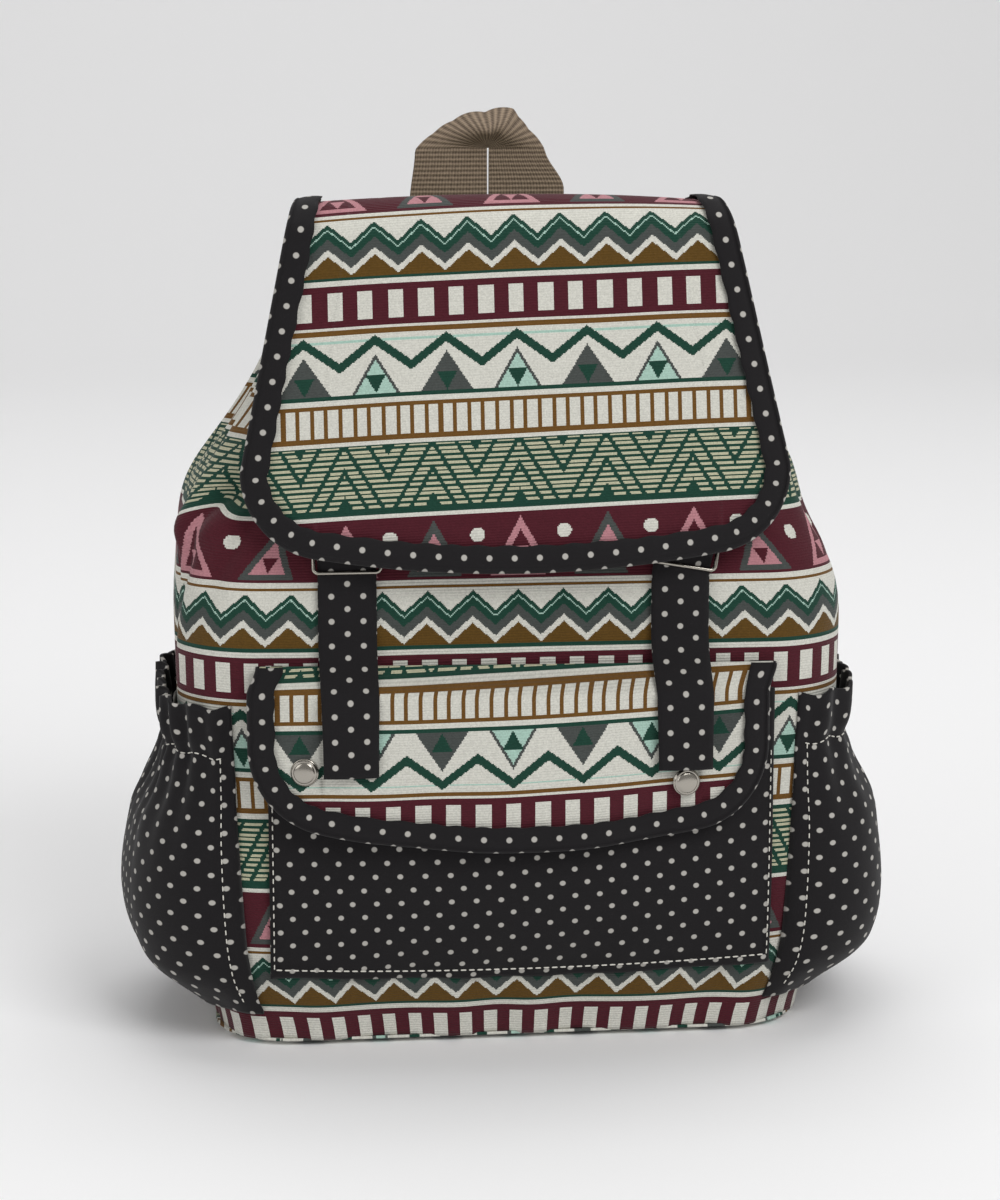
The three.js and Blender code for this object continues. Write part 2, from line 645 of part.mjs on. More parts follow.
// Domed cap, its shank through the flap, and the socket rolled onto it behind the flap
function snapCap() {
  const shank = SNAP_SHANK / 2;
  const cap = SNAP_CAP / 2;
  const plate = SNAP_PLATE / 2;
  const cup = SNAP_CUP / 2;
  const cupTop = socketLow + SNAP_CUP_DEPTH;
  const dome = steps(4).slice(0, -1).map((t) => t * Math.PI / 2).map((a) => (
    [cap * Math.cos(a), capUnder + SNAP_EDGE + SNAP_DOME * Math.sin(a)]));
  return lathe([
    [0, cupTop], [cup, cupTop], [cup, socketLow], [plate, socketLow], [plate, socketTop],
    [shank, socketTop], [shank, capUnder], [cap, capUnder], ...dome,
    [0, capUnder + SNAP_EDGE + SNAP_DOME],
  ]);
}

// Stud with its flange on the pocket and its post through the cloth, clenched inside
function snapStud() {
  const shank = SNAP_SHANK / 2;
  const plate = SNAP_PLATE / 2;
  const post = SNAP_POST / 2;
  const clench = SNAP_CLENCH / 2;
  const postTop = socketLow + SNAP_CUP_DEPTH - SNAP_PLAY;
  const inside = -CLOTH - GAP - SNAP_SLACK;
  return lathe([
    [0, inside - SNAP_EDGE], [clench, inside - SNAP_EDGE], [clench, inside], [shank, inside],
    [shank, SNAP_SLACK], [plate, SNAP_SLACK], [plate, studHeight], [post, studHeight],
    [post, postTop], [0, postTop],
  ]);
}

add('front_pocket', frontPocket(), 'dots');
const pocketFlapShape = pocketFlapOutline();
add('pocket_flap', cut(flapPanel(pocketFlapShape, 8, placePocketFlap), snapHoles()), 'jacquard');
add('pocket_flap_binding', edgeBinding(pocketFlapShape, placePocketFlap), 'dots');
for (const [side, snap] of Object.entries(snaps)) {
  add(`snap_cap_${side}`, snapCap(), 'nickel').applyMatrix4(snapFrame(snap));
  add(`snap_stud_${side}`, snapStud(), 'nickel').applyMatrix4(snapFrame(snap));
}

// Side pockets, gathered by elastic at the top

const swellAt = (z) => smooth(SIDE_POCKET_SWELL, (row) => row[0], (row) => row[1], z);
const pouch = (t) => Math.sin(Math.PI * t) ** SIDE_POCKET_FULLNESS;

function pouchColumns(side) {
  return [
    ...steps(5).map((t) => cornerColumn(side, 'front', lerp(SIDE_POCKET_START, 90, t))),
    ...steps(6).slice(1, -1).map((t) => sideColumn(side, t)),
    ...steps(5).map((t) => cornerColumn(side, 'back', lerp(90, SIDE_POCKET_END, t))),
  ];
}

// A layer of the pouch between two offsets, without the given number of columns at each end
function pouchSheet(side, heights, bare, outer, inner) {
  const columns = pouchColumns(side);
  const count = columns.length - 1;
  const grid = (out) => heights.map((z) => columns.slice(bare, columns.length - bare).map((column, i) => {
    const swell = swellAt(z) * pouch((i + bare) / count);
    const [x, y] = column(sectionAt(z), GAP + swell + out);
    return new THREE.Vector3(x, y, z);
  }));
  return sheet(grid(outer), grid(inner));
}

for (const [name, side] of [['left', -1], ['right', 1]]) {
  const heights = steps(9).map((t) => lerp(SIDE_POCKET_BOTTOM_Z, SIDE_POCKET_TOP_Z, t));
  add(`${name}_side_pocket`, pouchSheet(side, heights, 0, CLOTH, 0), 'dots');
  const [elasticOut, elasticHeights] = [-2 * GAP, [ELASTIC_Z, ELASTIC_Z + ELASTIC_HEIGHT]];
  const elastic = pouchSheet(side, elasticHeights, ELASTIC_INSET, elasticOut, elasticOut - ELASTIC);
  add(`${name}_pocket_elastic`, elastic, 'lining');
}

// Flap straps and their rings

// A ring that hangs askew shifts the strap below it
function flapStrap(centreX, slant) {
  const pocketFlapFace = (x, z) => -(pocketFlapInside(x, z) + CLOTH + GAP);
  const flapFace = (z) => flapInnerY(z) + GAP + STRAP;
  const rows = [
    [STRAP_SEWN_Z, () => flapFace(STRAP_SEWN_Z)],
    [ringHighZ + BAR_CLEAR + STRAP_EASE, () => flapFace(ringHighZ + BAR_CLEAR + STRAP_EASE)],
    [ringHighZ + BAR_CLEAR, () => strapFrontY], [ringHighZ - BAR_CLEAR, () => strapFrontY],
    [RING_LOW_Z + BAR_CLEAR, () => strapBehindY], [RING_LOW_Z - BAR_CLEAR, () => strapBehindY],
    [POCKET_FLAP_TOP_Z + STRAP_EASE, () => strapBehindY],
    [POCKET_FLAP_TOP_Z + CLOTH, (x) => pocketFlapFace(x, POCKET_FLAP_TOP_Z) - GAP],
    ...steps(5).map((t) => {
      const z = lerp(overPocket, STRAP_END_Z, t);
      return [z, (x) => pocketFlapFace(x, z) - GAP];
    }),
  ];
  const drift = (z) => {
    const fallen = THREE.MathUtils.clamp(ringHighZ - z, -BAR_CLEAR, RING_HEIGHT + BAR_CLEAR);
    return -Math.tan(slant) * fallen;
  };
  const grid = (out) => rows.map(([z, face]) => steps(3).map((t) => {
    const x = centreX + drift(z) + lerp(-STRAP_WIDTH / 2, STRAP_WIDTH / 2, t);
    return new THREE.Vector3(x, face(x) - out, z);
  }));
  return sheet(grid(STRAP), grid(0));
}

function strapRing() {
  const halfWidth = STRAP_WIDTH / 2 + RING_PLAY + WIRE / 2;
  const low = -RING_HEIGHT / Math.cos(ringLean);
  const round = (x, z, from) => steps(3).map((t) => {
    const a = rad(from + 90 * t);
    return [x + RING_CORNER * Math.cos(a), z + RING_CORNER * Math.sin(a), Math.cos(a), Math.sin(a)];
  });
  const [right, top, bottom] = [halfWidth - RING_CORNER, -RING_CORNER, low + RING_CORNER];
  const path = [
    ...round(right, top, 0), ...round(-right, top, 90),
    ...round(-right, bottom, 180), ...round(right, bottom, 270),
  ];
  const section = steps(8).slice(0, -1).map((t) => [Math.cos(t * 2 * Math.PI), Math.sin(t * 2 * Math.PI)]);
  const rings = path.map(([x, z, nx, nz]) => section.map(([c, s]) => (
    new THREE.Vector3(x + nx * c * WIRE / 2, s * WIRE / 2, z + nz * c * WIRE / 2))));
  return sweep(rings, section, true);
}

// A strip folded round the ring's upper bar, its two ends sewn to the body above it as one
function ringTab() {
  const r = WIRE / 2 + GAP + TAB / 2;
  const fold = steps(6).map((t) => {
    const a = lerp(-Math.PI / 2, Math.PI / 2, t);
    return new THREE.Vector2(-r * Math.sin(a), -r * Math.cos(a));
  });
  const ends = [
    new THREE.Vector2(r, TAB_LENGTH), ...fold, new THREE.Vector2(r - TAB - GAP, TAB_LENGTH),
  ];
  return extrude(stripShape(ends, TAB), STRAP_WIDTH - 2 * TAB_INSET);
}

// Turns the tab's flat pattern of depth and height, extruded across, to lie up the body's front
const tabLean = Math.atan2(frontAt(ringHighZ) - frontAt(ringHighZ + TAB_LENGTH), TAB_LENGTH);
const tabTurn = new THREE.Matrix4().makeBasis(
  new THREE.Vector3(0, Math.cos(tabLean), -Math.sin(tabLean)),
  new THREE.Vector3(0, Math.sin(tabLean), Math.cos(tabLean)), new THREE.Vector3(1, 0, 0));

for (const [side, sign] of [['left', -1], ['right', 1]]) {
  const slant = rad(RING_SLANT[side]);
  add(`flap_strap_${side}`, flapStrap(sign * strapX, slant), 'dots');
  const askew = new THREE.Matrix4().makeRotationY(slant).setPosition(sign * strapX, upperBarY, ringHighZ);
  const ringTurn = askew.clone().multiply(new THREE.Matrix4().makeRotationX(-ringLean));
  add(`strap_ring_${side}`, strapRing(), 'nickel').applyMatrix4(ringTurn);
  add(`ring_tab_${side}`, ringTab(), 'dots').applyMatrix4(askew.clone().multiply(tabTurn));
}

const handleSeamZ = MOUTH_Z - HANDLE_SEAM_DROP;

// Grab handle: one strip of webbing, up on the left, fanned over a pinched fold and down on the right
function grabHandle() {
  const y = flapBackY + CLOTH + GAP + HANDLE / 2;
  const pinch = HANDLE_WIDTH / 2 + HANDLE_PINCH;
  const lean = rad(HANDLE_LEAN);
  const topZ = flapTopZ + CLOTH + HANDLE_RISE;
  const foldAt = topZ - (HANDLE_WIDTH + HANDLE_PINCH) * Math.cos(lean);
  const fan = steps(12).map((t) => Math.PI * (1 - t)).map((angle) => {
    const up = Math.sin(angle);
    return new THREE.Vector3(Math.cos(angle), up * Math.sin(lean), up * Math.cos(lean));
  });
  const leg = (side, z) => new THREE.Vector3(side * pinch, y, z);
  const path = [
    leg(-1, handleSeamZ), leg(-1, lerp(handleSeamZ, foldAt, 0.5)),
    ...fan.map((out) => new THREE.Vector3(0, y, foldAt).addScaledVector(out, pinch)),
    leg(1, lerp(handleSeamZ, foldAt, 0.5)), leg(1, handleSeamZ),
  ];
  const widths = [fan[0], fan[0], ...fan, fan[fan.length - 1], fan[fan.length - 1]];
  return band(path, widths, flatSection(HANDLE_WIDTH, HANDLE));
}

add('grab_handle', grabHandle(), 'webbing');

// Back: yoke, shoulder straps, adjusters and webbing

const yokeTopZ = handleSeamZ - GAP;
const yokeHalf = mouth.halfWidth + FLAP_TOP_MARGIN - YOKE_MARGIN;
const padTopX = yokeHalf - PAD_WIDTH / 2;
const anchorAt = new THREE.Vector3(ANCHOR.x, backAt(ANCHOR.z) + ANCHOR.standoff, ANCHOR.z);

function strapYoke() {
  const y = flapBackY + CLOTH + GAP;
  const shape = new THREE.BoxGeometry(2 * yokeHalf, CLOTH, YOKE_HEIGHT);
  return shape.translate(0, y + CLOTH / 2, yokeTopZ - YOKE_HEIGHT / 2);
}

add('strap_yoke', strapYoke(), 'dots');

const padSection = steps(10).slice(0, -1).map((t) => {
  const a = t * 2 * Math.PI;
  const flat = (v) => Math.sign(v) * Math.abs(v) ** PAD_SQUARENESS;
  return [flat(Math.cos(a)) * PAD_WIDTH / 2, flat(Math.sin(a)) * PAD / 2];
});

function shoulderPad(side) {
  const top = new THREE.Vector3(padTopX, flapBackY + CLOTH * 2 + GAP * 2 + PAD / 2, yokeTopZ);
  const down = anchorAt.clone().sub(ADJUSTER_AT).normalize();
  const end = ADJUSTER_AT.clone().addScaledVector(down, -LOOP_LENGTH - 2 * GAP);
  const curve = new THREE.CatmullRomCurve3([
    ...PAD_BEND.map((offset) => new THREE.Vector3(...offset).add(top)),
    new THREE.Vector3(lerp(padTopX, ADJUSTER_AT.x, 0.5), PAD_BOW, PAD_MIDDLE_Z),
    end.clone().addScaledVector(down, -PAD_STRAIGHT), end,
  ], false, 'centripetal');
  const path = curve.getSpacedPoints(PAD_STEPS).map((p) => new THREE.Vector3(side * p.x, p.y, p.z));
  const rings = path.map((p, i) => {
    const tangent = path[Math.min(i + 1, PAD_STEPS)].clone().sub(path[Math.max(i - 1, 0)]).normalize();
    const across = new THREE.Vector3(1, 0, 0).addScaledVector(tangent, -tangent.x).normalize();
    const normal = tangent.clone().cross(across);
    const lower = Math.max(0, (i / PAD_STEPS - PAD_TAPER_FROM) / (1 - PAD_TAPER_FROM));
    across.multiplyScalar(1 - PAD_TAPER * lower ** 2);
    return padSection.map(([w, t]) => p.clone().addScaledVector(across, w).addScaledVector(normal, t));
  });
  return sweep(rings, padSection);
}

// Plan of the adjuster, along the strap (x) and across it (y): a frame with three bars
const loopSlot = LOCK_BAR / 2;
const middleBar = loopSlot + LOCK_LOOP_SLOT;
const gripSlot = middleBar + LOCK_BAR;
const gripBar = gripSlot + LOCK_GRIP_SLOT;
const lockEnd = gripBar + LOCK_BAR / 2 + LOCK_TAB;
const lockInner = WEBBING_WIDTH / 2 + LOCK_PLAY;
const lockOuter = lockInner + LOCK_RAIL;

function roundedBox(from, to, half, r) {
  const corners = [[to - r, half - r], [from + r, half - r], [from + r, r - half], [to - r, r - half]];
  return corners.flatMap(([x, y], quarter) => steps(3).map((t) => {
    const a = rad(90 * (quarter + t));
    return new THREE.Vector2(x + r * Math.cos(a), y + r * Math.sin(a));
  }));
}

// The plan meets the side view: flat under the webbing, then a tab that curls up to be lifted
function adjuster() {
  const plan = new THREE.Shape(roundedBox(-loopSlot, lockEnd, lockOuter, LOCK_CORNER));
  for (const [from, to] of [[loopSlot, middleBar], [gripSlot, gripBar]]) {
    plan.holes.push(new THREE.Path(roundedBox(from, to, lockInner, SLOT_CORNER)));
  }
  const half = LOCK_THICKNESS / 2;
  const tab = steps(4).map((t) => [lerp(lockEnd - LOCK_TAB, lockEnd, t), LOCK_TAB_RISE * t * t, t]);
  const under = tab.map(([x, rise]) => new THREE.Vector2(x, rise - half));
  const over = tab.map(([x, rise, t]) => new THREE.Vector2(x, rise + half * (1 - t / 2)));
  const side = new THREE.Shape([
    new THREE.Vector2(-loopSlot, half), new THREE.Vector2(-loopSlot, -half), ...under, ...over.reverse(),
  ]);
  const sideView = extrude(side, 2 * lockOuter).rotateX(Math.PI / 2);
  const height = 2 * LOCK_THICKNESS + 2 * LOCK_TAB_RISE;
  return fromSolid(toSolid(extrude(plan, height)).intersect(toSolid(sideView)));
}

const pathOf = (points) => points.map(([x, y]) => new THREE.Vector2(x, y));

// Webbing seen from the side, x along the strap and y away from the bag: up behind the middle bar,
// over it, and back down through the second slot to a loose tail
function threadedWebbing(reach) {
  const tailY = -(LOCK_THICKNESS / 2 + LOCK_PLAY + WEBBING / 2);
  const runY = tailY - WEBBING - GAP;
  const top = LOCK_THICKNESS / 2 + HUMP + WEBBING / 2;
  const up = loopSlot + LOCK_LOOP_SLOT / 2 + GAP;
  const down = gripSlot + LOCK_GRIP_SLOT / 2;
  return extrude(stripShape(pathOf([
    [reach, runY], [middleBar + BEND, runY], [middleBar - BEND, runY + BEND / 2],
    [up, runY + BEND * 1.5], [up, top - BEND], [up + BEND, top],
    [down - BEND, top], [down, top - BEND], [down, tailY + BEND], [down + BEND, tailY],
    [down + WEBBING_TAIL, tailY],
  ]), WEBBING), WEBBING_WIDTH);
}

// A strip folded round the adjuster's top bar and sewn to the end of the padded strap
function adjusterLoop() {
  const half = LOCK_THICKNESS / 2 + LOOP_PLAY + WEBBING / 2;
  const turn = loopSlot + LOOP_PLAY + WEBBING / 2;
  return extrude(stripShape(pathOf([
    [-LOOP_LENGTH, half], [turn - LOOP_BEND, half], [turn, half - LOOP_BEND],
    [turn, LOOP_BEND - half], [turn - LOOP_BEND, -half], [-LOOP_LENGTH, -half],
  ]), WEBBING), WEBBING_WIDTH);
}

// A cloth triangle sewn into the seam, with the webbing on its outer face
function anchorTab(reach) {
  const top = reach - ANCHOR_HEIGHT;
  const topHalf = WEBBING_WIDTH / 2 + ANCHOR_MARGIN;
  return extrude(new THREE.Shape(pathOf([
    [top, -topHalf], [reach, -ANCHOR_BASE / 2], [reach, ANCHOR_BASE / 2], [top, topHalf],
  ])), CLOTH);
}

for (const [side, sign] of [['left', -1], ['right', 1]]) {
  const mirror = new THREE.Vector3(sign, 1, 1);
  const from = ADJUSTER_AT.clone().multiply(mirror);
  const along = anchorAt.clone().multiply(mirror).sub(from);
  const reach = along.length();
  along.normalize();
  const across = new THREE.Vector3(1, 0, 0).addScaledVector(along, -along.x).normalize();
  const away = along.clone().cross(across);
  // In this frame x runs down the strap, y across it and z away from the bag
  const frame = new THREE.Group();
  frame.applyMatrix4(new THREE.Matrix4().makeBasis(along, across, away).setPosition(from));
  bag.add(frame);
  add(`strap_adjuster_${side}`, adjuster(), 'plastic', frame);
  add(`adjuster_loop_${side}`, adjusterLoop(), 'webbing', frame).rotation.x = Math.PI / 2;
  add(`strap_webbing_${side}`, threadedWebbing(reach), 'webbing', frame).rotation.x = Math.PI / 2;
  const tab = add(`webbing_anchor_${side}`, anchorTab(reach), 'dots', frame);
  tab.position.z = -(LOCK_THICKNESS / 2 + LOCK_PLAY + WEBBING * 2 + GAP * 2 + CLOTH / 2);
  add(`shoulder_strap_${side}`, shoulderPad(sign), 'dots');
}

export default bag;
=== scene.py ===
# %% [markdown]
# # A small cloth backpack
# The bag stands on its base and shows its front: a bound flap over two strap rings, a snapped
# front pocket and two gathered side pockets. The CAD model is loaded first as a fixed frame,
# so every soft piece below is shaped around real sizes and only adds drape, weave and stitching.

# %% Load the frame
import math

import bpy
import numpy as np
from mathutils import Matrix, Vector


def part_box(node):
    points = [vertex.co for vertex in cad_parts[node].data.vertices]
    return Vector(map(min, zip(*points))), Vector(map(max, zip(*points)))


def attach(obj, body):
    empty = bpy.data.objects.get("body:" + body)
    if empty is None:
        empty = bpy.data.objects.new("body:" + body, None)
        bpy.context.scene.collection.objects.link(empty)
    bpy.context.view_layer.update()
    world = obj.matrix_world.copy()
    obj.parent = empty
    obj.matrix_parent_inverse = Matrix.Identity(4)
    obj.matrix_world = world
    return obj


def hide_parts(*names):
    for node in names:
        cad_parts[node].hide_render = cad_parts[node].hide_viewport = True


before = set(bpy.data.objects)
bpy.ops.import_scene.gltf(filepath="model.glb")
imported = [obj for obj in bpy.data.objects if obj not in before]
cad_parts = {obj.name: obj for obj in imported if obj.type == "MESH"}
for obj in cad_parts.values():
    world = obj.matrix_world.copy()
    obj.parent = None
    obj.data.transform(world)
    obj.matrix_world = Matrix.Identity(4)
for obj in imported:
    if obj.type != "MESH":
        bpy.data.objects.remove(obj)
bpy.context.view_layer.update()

MM = 0.001

# %% [markdown]
# ## Camera, light and floor
# The photograph looks slightly down at the front, from a little left of the middle and from far
# enough away that upright edges stay parallel. A long lens gives that. A pale sweep of paper,
# one large soft box and a dim room keep the colours about as they are written.

# %% Colours and the one node helper
def linear(hex_colour):
    """An sRGB hex colour as the linear RGBA that shaders expect."""
    channels = [int(hex_colour[i:i + 2], 16) / 255 for i in (1, 3, 5)]
    return (*[c / 12.92 if c <= 0.04045 else ((c + 0.055) / 1.055) ** 2.4 for c in channels], 1)


def add_node(tree, kind, inputs=(), **settings):
    """Adds a node; inputs are (socket, value or link) pairs, and settings are its properties."""
    node = tree.nodes.new(kind)
    for name, value in settings.items():
        setattr(node, name, value)
    for socket, value in dict(inputs).items():
        if isinstance(value, bpy.types.NodeSocket):
            tree.links.new(value, node.inputs[socket])
        else:
            node.inputs[socket].default_value = value
    return node


def new_material(name):
    """An empty node material with its output, as (material, tree, output)."""
    material = bpy.data.materials.new(name)
    material.use_nodes = True
    material.node_tree.nodes.clear()
    return material, material.node_tree, add_node(material.node_tree, "ShaderNodeOutputMaterial")


print("middle grey is", [round(c, 3) for c in linear("#808080")])

# %% Camera
CAMERA_TURN = -6.0        # degrees round the bag
CAMERA_RISE = 11.5
CAMERA_AWAY = 1.3         # metres
AIM = np.array([0.0, 0.0, 0.178])

turn, rise = math.radians(CAMERA_TURN), math.radians(CAMERA_RISE)
back = np.array([math.sin(turn) * math.cos(rise), -math.cos(turn) * math.cos(rise), math.sin(rise)])
camera_data = bpy.data.cameras.new("camera")
camera_data.lens = 90
camera_data.sensor_width = 36
camera = bpy.data.objects.new("camera", camera_data)
camera.location = AIM + CAMERA_AWAY * back
camera.rotation_euler = (math.radians(90) - rise, 0, turn)
bpy.context.scene.collection.objects.link(camera)
bpy.context.scene.camera = camera
bpy.context.scene.view_settings.view_transform = "Standard"
print("camera at", [round(v, 3) for v in camera.location])

# %% Paper sweep and lights
def paper_sweep():
    """Floor and backdrop in one sheet, bent up behind the bag."""
    bend, reach, wide = 1.2, 2.2, 9.0
    front = [(-9.0, 0.0), (reach, 0.0)]
    curve = [(reach + bend * math.sin(a), bend - bend * math.cos(a)) for a in np.linspace(0.1, 1.57, 16)]
    profile = front + curve + [(reach + bend, 6.0)]
    points = [(x, y, z) for y, z in profile for x in (-wide, wide)]
    faces = [(2 * i, 2 * i + 1, 2 * i + 3, 2 * i + 2) for i in range(len(profile) - 1)]
    mesh = bpy.data.meshes.new("paper_sweep")
    mesh.from_pydata(points, [], faces)
    for face in mesh.polygons:
        face.use_smooth = True
    sweep = bpy.data.objects.new("paper_sweep", mesh)
    bpy.context.scene.collection.objects.link(sweep)
    material, tree, output = new_material("matt_paper")
    shader = add_node(tree, "ShaderNodeBsdfPrincipled", {"Base Color": linear("#f7f7f8"), "Roughness": 0.95})
    tree.links.new(shader.outputs[0], output.inputs["Surface"])
    mesh.materials.append(material)
    return sweep


def soft_box(name, place, aim, size, watts):
    lamp = bpy.data.lights.new(name, "AREA")
    lamp.shape, lamp.size, lamp.size_y, lamp.energy = "RECTANGLE", size[0], size[1], watts
    box = bpy.data.objects.new(name, lamp)
    box.location = place
    toward = np.array(aim) - np.array(place)
    yaw = math.atan2(-toward[0], toward[1])
    pitch = math.atan2(math.hypot(toward[0], toward[1]), -toward[2])
    box.rotation_euler = (pitch, 0, yaw)
    bpy.context.scene.collection.objects.link(box)
    return box


paper_sweep()
soft_box("key_box", (1.1, -1.9, 2.0), (0, 0, 0.15), (1.6, 1.2), 36)
soft_box("fill_box", (-2.2, -1.6, 1.2), (0, 0, 0.15), (1.6, 1.6), 13)
soft_box("backdrop_box", (0, 0.9, 3.0), (0, 3.4, 1.2), (3.0, 1.0), 17)
soft_box("top_box", (0.2, 0.6, 2.6), (0, 0, 0.2), (2.4, 1.6), 23)
world = bpy.data.worlds.new("dim_room")
world.use_nodes = True
world.node_tree.nodes["Background"].inputs["Color"].default_value = linear("#e9e8e6")
world.node_tree.nodes["Background"].inputs["Strength"].default_value = 0.42
bpy.context.scene.world = world

# %% [markdown]
# ## Woven jacquard
# The body cloth is a jacquard: the pattern is not printed but woven from dyed yarns, so every
# slanted edge is a little staircase of threads. Six bands repeat down the cloth. Painting it as
# an image would need a picture, so it is drawn with arithmetic instead. Each piece carries a
# "cloth" map in millimetres, and a short weaving draft turns those two numbers into masks.

# %% Yarn colours and the weaving draft
YARN = {
    "maroon": "#4c1a24", "cream": "#d0cfc6", "green": "#1a3f33", "slate": "#474b49",
    "brown": "#6a4a20", "teal": "#a5c4b7", "pink": "#b57f86", "olive": "#5b4218", "khaki": "#b9b79c",
}
REPEAT = 150.5            # mm down the cloth before the bands start again
THREAD = 0.55             # mm, drawn a little coarser than the real thread so that the steps show

# Where each stripe of the ground starts, in mm from the top of the maroon band with dots
GROUND = [
    (0, "maroon"), (24.0, "cream"), (25.7, "brown"), (27.0, "cream"), (54.0, "maroon"),
    (70.6, "cream"), (72.3, "brown"), (74.1, "cream"), (102.6, "brown"), (117.7, "cream"),
    (119.4, "green"), (148.2, "cream"),
]
# Zigzag bands: colour by depth below a slanting line, in mm of such a span
ZIGZAG, CHEVRON = 30.0, 64.0
PEAKS = [
    (0, "cream"), (1.4, "green"), (3.5, "teal"), (4.0, "green"), (7.6, "slate"), (11.8, "cream"),
    (14.6, "olive"),
]
RIDGES = [(0, "cream"), (0.8, "green"), (5.0, "cream")]
CHEVRONS = [
    (0, "green"), (5.6, "khaki"), (13.4, "green"), (16.6, "khaki"), (29.4, "green"), (32.6, "khaki"),
    (40.4, "green"), (43.6, "khaki"), (52.0, "green"),
]

